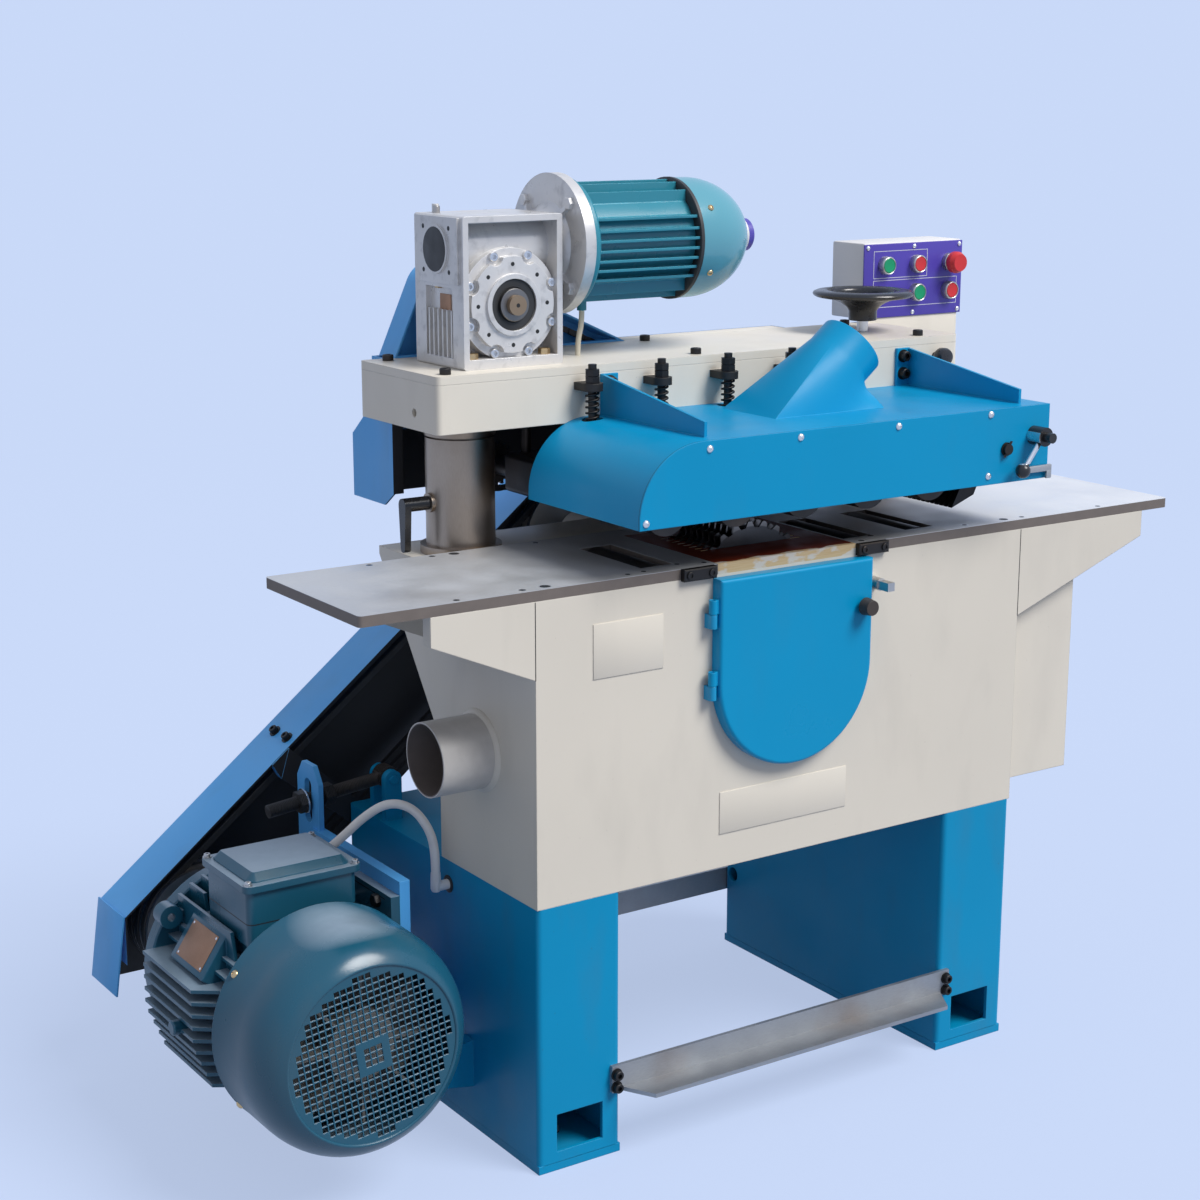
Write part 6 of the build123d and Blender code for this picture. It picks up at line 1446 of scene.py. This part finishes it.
class SAW_OT_outlets(bpy.types.Operator):
    """Cut the dust outlets of the hood and the bed to their length"""
    bl_idname = "saw.outlets"
    bl_label = "Dust outlets"

    def execute(self, context):
        with piece("hood_shell", "hood", "head", "blue_paint", 16, instead="hood") as bm:
            trimmed(bm, "hood", "hood_dust_outlet", reach=50, cut=20)
        with piece("bed_shell", "bed_and_pipe", "bed", "cream_paint", 16, instead="bed_body") as bm:
            trimmed(bm, "bed_body", "bed_dust_outlet", reach=100, cut=24)
        return {"FINISHED"}


class SAW_OT_handwheel(bpy.types.Operator):
    """Turn the dished handwheel and its lifting screw"""
    bl_idname = "saw.handwheel"
    bl_label = "Handwheel"

    def execute(self, context):
        foot = Vector((middle("handwheel", X), middle("handwheel", Y), HEAD_TOP))
        under = [(0, 18), (21.5, 18), (22.5, 19), (22.5, 33), (26, 39), (36, 46), (50, 51.5), (58, 53.5)]
        rim = [(68, 54), (75, 55.3), (79, 57.6), (80.5, 60.5), (79, 63.3), (74, 65.4), (66, 66.4), (58, 66),
               (53, 64), (50.5, 60.5), (50, 57)]
        dish = [(42, 53), (32, 49), (27, 47), (24, 48), (23, 52), (21, 53), (0, 53)]
        with piece("dished_handwheel", "black_plastic", "lift_wheel", "wheel_black", 40,
                   instead="handwheel") as bm:
            turned(bm, under + rim + dish, UP, foot, 64)
        with piece("lifting_screw", "bright", "lift_wheel", "bare_steel") as bm:
            bottom = lowest("handwheel", Z) - HEAD_TOP
            turned(bm, [(0, bottom), (7, bottom), (7, 0.5), (9, 0.5), (9, 18.5), (0, 18.5)], UP, foot, 24)
        return {"FINISHED"}


BUTTONS = (("start_saw_button", "saw_start", "green"), ("stop_saw_button", "saw_stop", "red"),
           ("start_feed_button", "feed_start", "green"), ("stop_feed_button", "feed_stop", "red"))


class SAW_OT_controls(bpy.types.Operator):
    """Fold the switch box and its stand, and fit the panel with its buttons"""
    bl_idname = "saw.controls"
    bl_label = "Controls"

    def seat(self, node):
        """Point on the panel behind a button."""
        return Vector((middle(node, X), PANEL_FRONT, middle(node, Z)))

    def execute(self, context):
        with piece("switch_box", "box", "head", "box_grey", instead="control_box") as bm:
            boxed(bm, (PANEL_LEFT, PANEL_BACK, PANEL_LOW - 1),
                  (PANEL_RIGHT, PANEL_BACK + BOX_DEPTH, PANEL_HIGH + 2), 3)
        right, sheet = PANEL_RIGHT - 5, 4
        with piece("switch_box_stand", "beam", "head", "cream_paint") as bm:
            boxed(bm, (PANEL_LEFT, PANEL_BACK, BEAM_LOW), (right, PANEL_BACK + sheet, PANEL_LOW), 0.8)
            boxed(bm, (right - sheet, PANEL_BACK + 3, BEAM_LOW), (right, PANEL_BACK + 40, PANEL_LOW), 0.8)
        with piece("panel_plate", "panel", "head", "panel_blue", instead="control_panel") as bm:
            boxed(bm, (PANEL_LEFT - 1, PANEL_FRONT, PANEL_LOW),
                  (PANEL_RIGHT + 1, PANEL_BACK + 0.2, PANEL_HIGH), 0.5)
        for node, body, colour in BUTTONS:
            with piece(body + "_cap", colour, body, "button_" + colour, instead=node) as bm:
                turned(bm, [(0, 0), (12, 0), (12, 7), (11, 8), (9, 7.7), (0, 7.6)], FRONT,
                       self.seat(node) + FRONT * 4.5, 36)
        inner, outer = 12.4, 15
        tall = [(inner, 0), (outer, 0), (outer, 10.5), (14.2, 12.2), (13.2, 12.8), (inner, 12.2), (inner, 0)]
        low = [(inner, 0), (outer, 0), (outer, 8), (14, 9.2), (inner, 9.2), (inner, 0)]
        with piece("button_rings", "steel", "head", "bare_steel") as bm:
            for node, *_ in BUTTONS:
                turned(bm, tall, FRONT, self.seat(node), 36)
            turned(bm, low, FRONT, self.seat("emergency_stop"), 36)
        return {"FINISHED"}


# Control panel: screws, and ruled frames round its rows of buttons (left, right, low, high)
PANEL_SCREW_XS, PANEL_SCREW_ZS = (477, 577, 677), (1101, 1210)
PANEL_RULES = ((490, 606, 1160, 1204), (490, 673, 1112, 1156))


class SAW_OT_panel_fittings(bpy.types.Operator):
    """Fit the control panel's screws and ruled frames"""
    bl_idname = "saw.panel_fittings"
    bl_label = "Panel fittings"

    def execute(self, context):
        with piece("panel_screws", "bright", "head", "bare_steel") as bm:
            for x, z in product(PANEL_SCREW_XS, PANEL_SCREW_ZS):
                pan_screw(bm, FRONT, (x, PANEL_FRONT, z), 4.2)
        half, front, back = 0.5, PANEL_FRONT - 0.25, PANEL_FRONT + 0.5
        with piece("panel_rules", "line", "head", "box_grey") as bm:
            for left, right, low, high in PANEL_RULES:
                for x in (left, right):
                    boxed(bm, (x - half, front, low - half), (x + half, back, high + half))
                for z in (low, high):
                    boxed(bm, (left + half, front, z - half), (right - half, back, z + half))
        return {"FINISHED"}


# Camera place and sensor in millimetres, its turn, the way that the key light shines, the lights' colours,
# and the distances in metres between which the floor's shadow fades
CAMERA_PLACE = Vector((-1903.7, -2640.9, 1478.8))
CAMERA_TURN = (radians(76.7), 0, radians(-33.6))
SENSOR_WIDTH = 36.0
LIGHT_WAY = Vector((-0.32, 0.56, -0.76))
KEY_COLOUR = (1.0, 0.97, 0.93)
SKY_COLOUR = (0.90, 0.92, 1.0)
SHADOW_NEAR, SHADOW_FAR = 2.0, 6.0


class SAW_OT_stage(bpy.types.Operator):
    """Set the floor, lights and camera"""
    bl_idname = "saw.stage"
    bl_label = "Studio"

    def execute(self, context):
        stage = context.scene.saw_stage
        context.scene.view_settings.view_transform = "Standard"
        self.world(context.scene, stage)
        self.floor(stage)
        light = bpy.data.lights.new("key", "SUN")
        light.energy = stage.sun
        light.angle = stage.softness
        light.color = KEY_COLOUR
        key = bpy.data.objects.new("key", light)
        key.rotation_euler = LIGHT_WAY.to_track_quat("-Z", "Y").to_euler()
        context.scene.collection.objects.link(key)
        camera = bpy.data.objects.new("camera", bpy.data.cameras.new("camera"))
        context.scene.collection.objects.link(camera)
        camera.data.lens = stage.lens
        camera.data.sensor_width = SENSOR_WIDTH
        camera.location = CAMERA_PLACE * MM
        camera.rotation_euler = CAMERA_TURN
        context.scene.camera = camera
        return {"FINISHED"}

    def shown(self, tree):
        """Factor that is 1 on rays that see the background, 0 on rays that light the object."""
        rays = tree.nodes.new("ShaderNodeLightPath")
        seen = rays.outputs["Is Camera Ray"]
        for kind in ("Is Glossy Ray", "Is Transmission Ray"):
            either_ray = tree.nodes.new("ShaderNodeMath")
            either_ray.operation = "MAXIMUM"
            tree.links.new(seen, either_ray.inputs[0])
            tree.links.new(rays.outputs[kind], either_ray.inputs[1])
            seen = either_ray.outputs[0]
        return seen

    def world(self, scene, stage):
        """Soft light from all round, behind a plain backdrop."""
        world = scene.world or bpy.data.worlds.new("studio")
        scene.world = world
        world.use_nodes = True
        tree = world.node_tree
        tree.nodes.clear()
        out = tree.nodes.new("ShaderNodeOutputWorld")
        mixer = tree.nodes.new("ShaderNodeMixShader")
        light = tree.nodes.new("ShaderNodeBackground")
        backdrop = tree.nodes.new("ShaderNodeBackground")
        light.inputs["Color"].default_value = (*SKY_COLOUR, 1)
        light.inputs["Strength"].default_value = stage.sky
        backdrop.inputs["Color"].default_value = (*stage.backdrop, 1)
        backdrop.inputs["Strength"].default_value = 1.0
        tree.links.new(self.shown(tree), mixer.inputs[0])
        tree.links.new(light.outputs[0], mixer.inputs[1])
        tree.links.new(backdrop.outputs[0], mixer.inputs[2])
        tree.links.new(mixer.outputs[0], out.inputs[0])

    def floor(self, stage):
        """Pale floor that takes the shadow near the machine and joins the backdrop further out."""
        bm = bmesh.new()
        bmesh.ops.create_grid(bm, x_segments=2, y_segments=2, size=stage.floor / 2 / MM)
        f = Finish("studio_floor")
        seen = self.shown(f.tree)
        tone = f.mix(f.noise(0.6, 3.0), shade(stage.backdrop, 0.88), shade(stage.backdrop, 0.90))
        f.colour(f.mix(seen, shade(stage.backdrop, stage.bounce), tone))
        f.set(Roughness=0.9)
        glow = f.node("ShaderNodeEmission")
        glow.inputs["Color"].default_value = (*stage.backdrop, 1)
        mixer = f.node("ShaderNodeMixShader")
        plain = f.range(f.reach(f.place), SHADOW_NEAR, SHADOW_FAR, 1 - stage.shadow, 1.0)
        f.link(f.math("MULTIPLY", plain, seen), mixer.inputs[0])
        f.link(f.shader.outputs[0], mixer.inputs[1])
        f.link(glow.outputs[0], mixer.inputs[2])
        f.link(mixer.outputs[0], f.tree.nodes["Material Output"].inputs["Surface"])
        FINISH["floor"] = f
        finish_piece("studio_floor", bm, "floor", None)


OPERATORS = (
    SAW_OT_paint, SAW_OT_cords, SAW_OT_springs, SAW_OT_belts, SAW_OT_chain, SAW_OT_fan_cowl,
    SAW_OT_hood_fittings, SAW_OT_head_fittings, SAW_OT_bed_fittings, SAW_OT_gearbox_fittings,
    SAW_OT_saw_motor, SAW_OT_feed_motor, SAW_OT_motor_fittings, SAW_OT_guard_fittings, SAW_OT_outlets,
    SAW_OT_handwheel, SAW_OT_controls, SAW_OT_panel_fittings, SAW_OT_stage,
)
SETTINGS = {"saw_colours": SawColours, "saw_sizes": SawSizes, "saw_stage": SawStage}


class SAW_PT_sidebar(bpy.types.Panel):
    """Sidebar list of the saw's pieces and settings"""
    bl_idname = "SAW_PT_sidebar"
    bl_label = "Rip saw"
    bl_space_type = "VIEW_3D"
    bl_region_type = "UI"
    bl_category = "Rip saw"

    def draw(self, context):
        for operator in OPERATORS:
            self.layout.operator(operator.bl_idname)
        for group, settings in SETTINGS.items():
            column = self.layout.column(align=True)
            for name in settings.__annotations__:
                column.prop(getattr(context.scene, group), name)


CLASSES = (*SETTINGS.values(), *OPERATORS, SAW_PT_sidebar)


def register():
    """Add the classes, and the settings to the scene."""
    for cls in CLASSES:
        bpy.utils.register_class(cls)
    for group, settings in SETTINGS.items():
        setattr(bpy.types.Scene, group, PointerProperty(type=settings))


def unregister():
    """Take the settings and the classes away."""
    for group in SETTINGS:
        delattr(bpy.types.Scene, group)
    for cls in reversed(CLASSES):
        bpy.utils.unregister_class(cls)


def main():
    """Build every piece round the frame."""
    register()
    for operator in OPERATORS:
        group, name = operator.bl_idname.split(".")
        getattr(getattr(bpy.ops, group), name)()


if __name__ == "__main__":
    main()
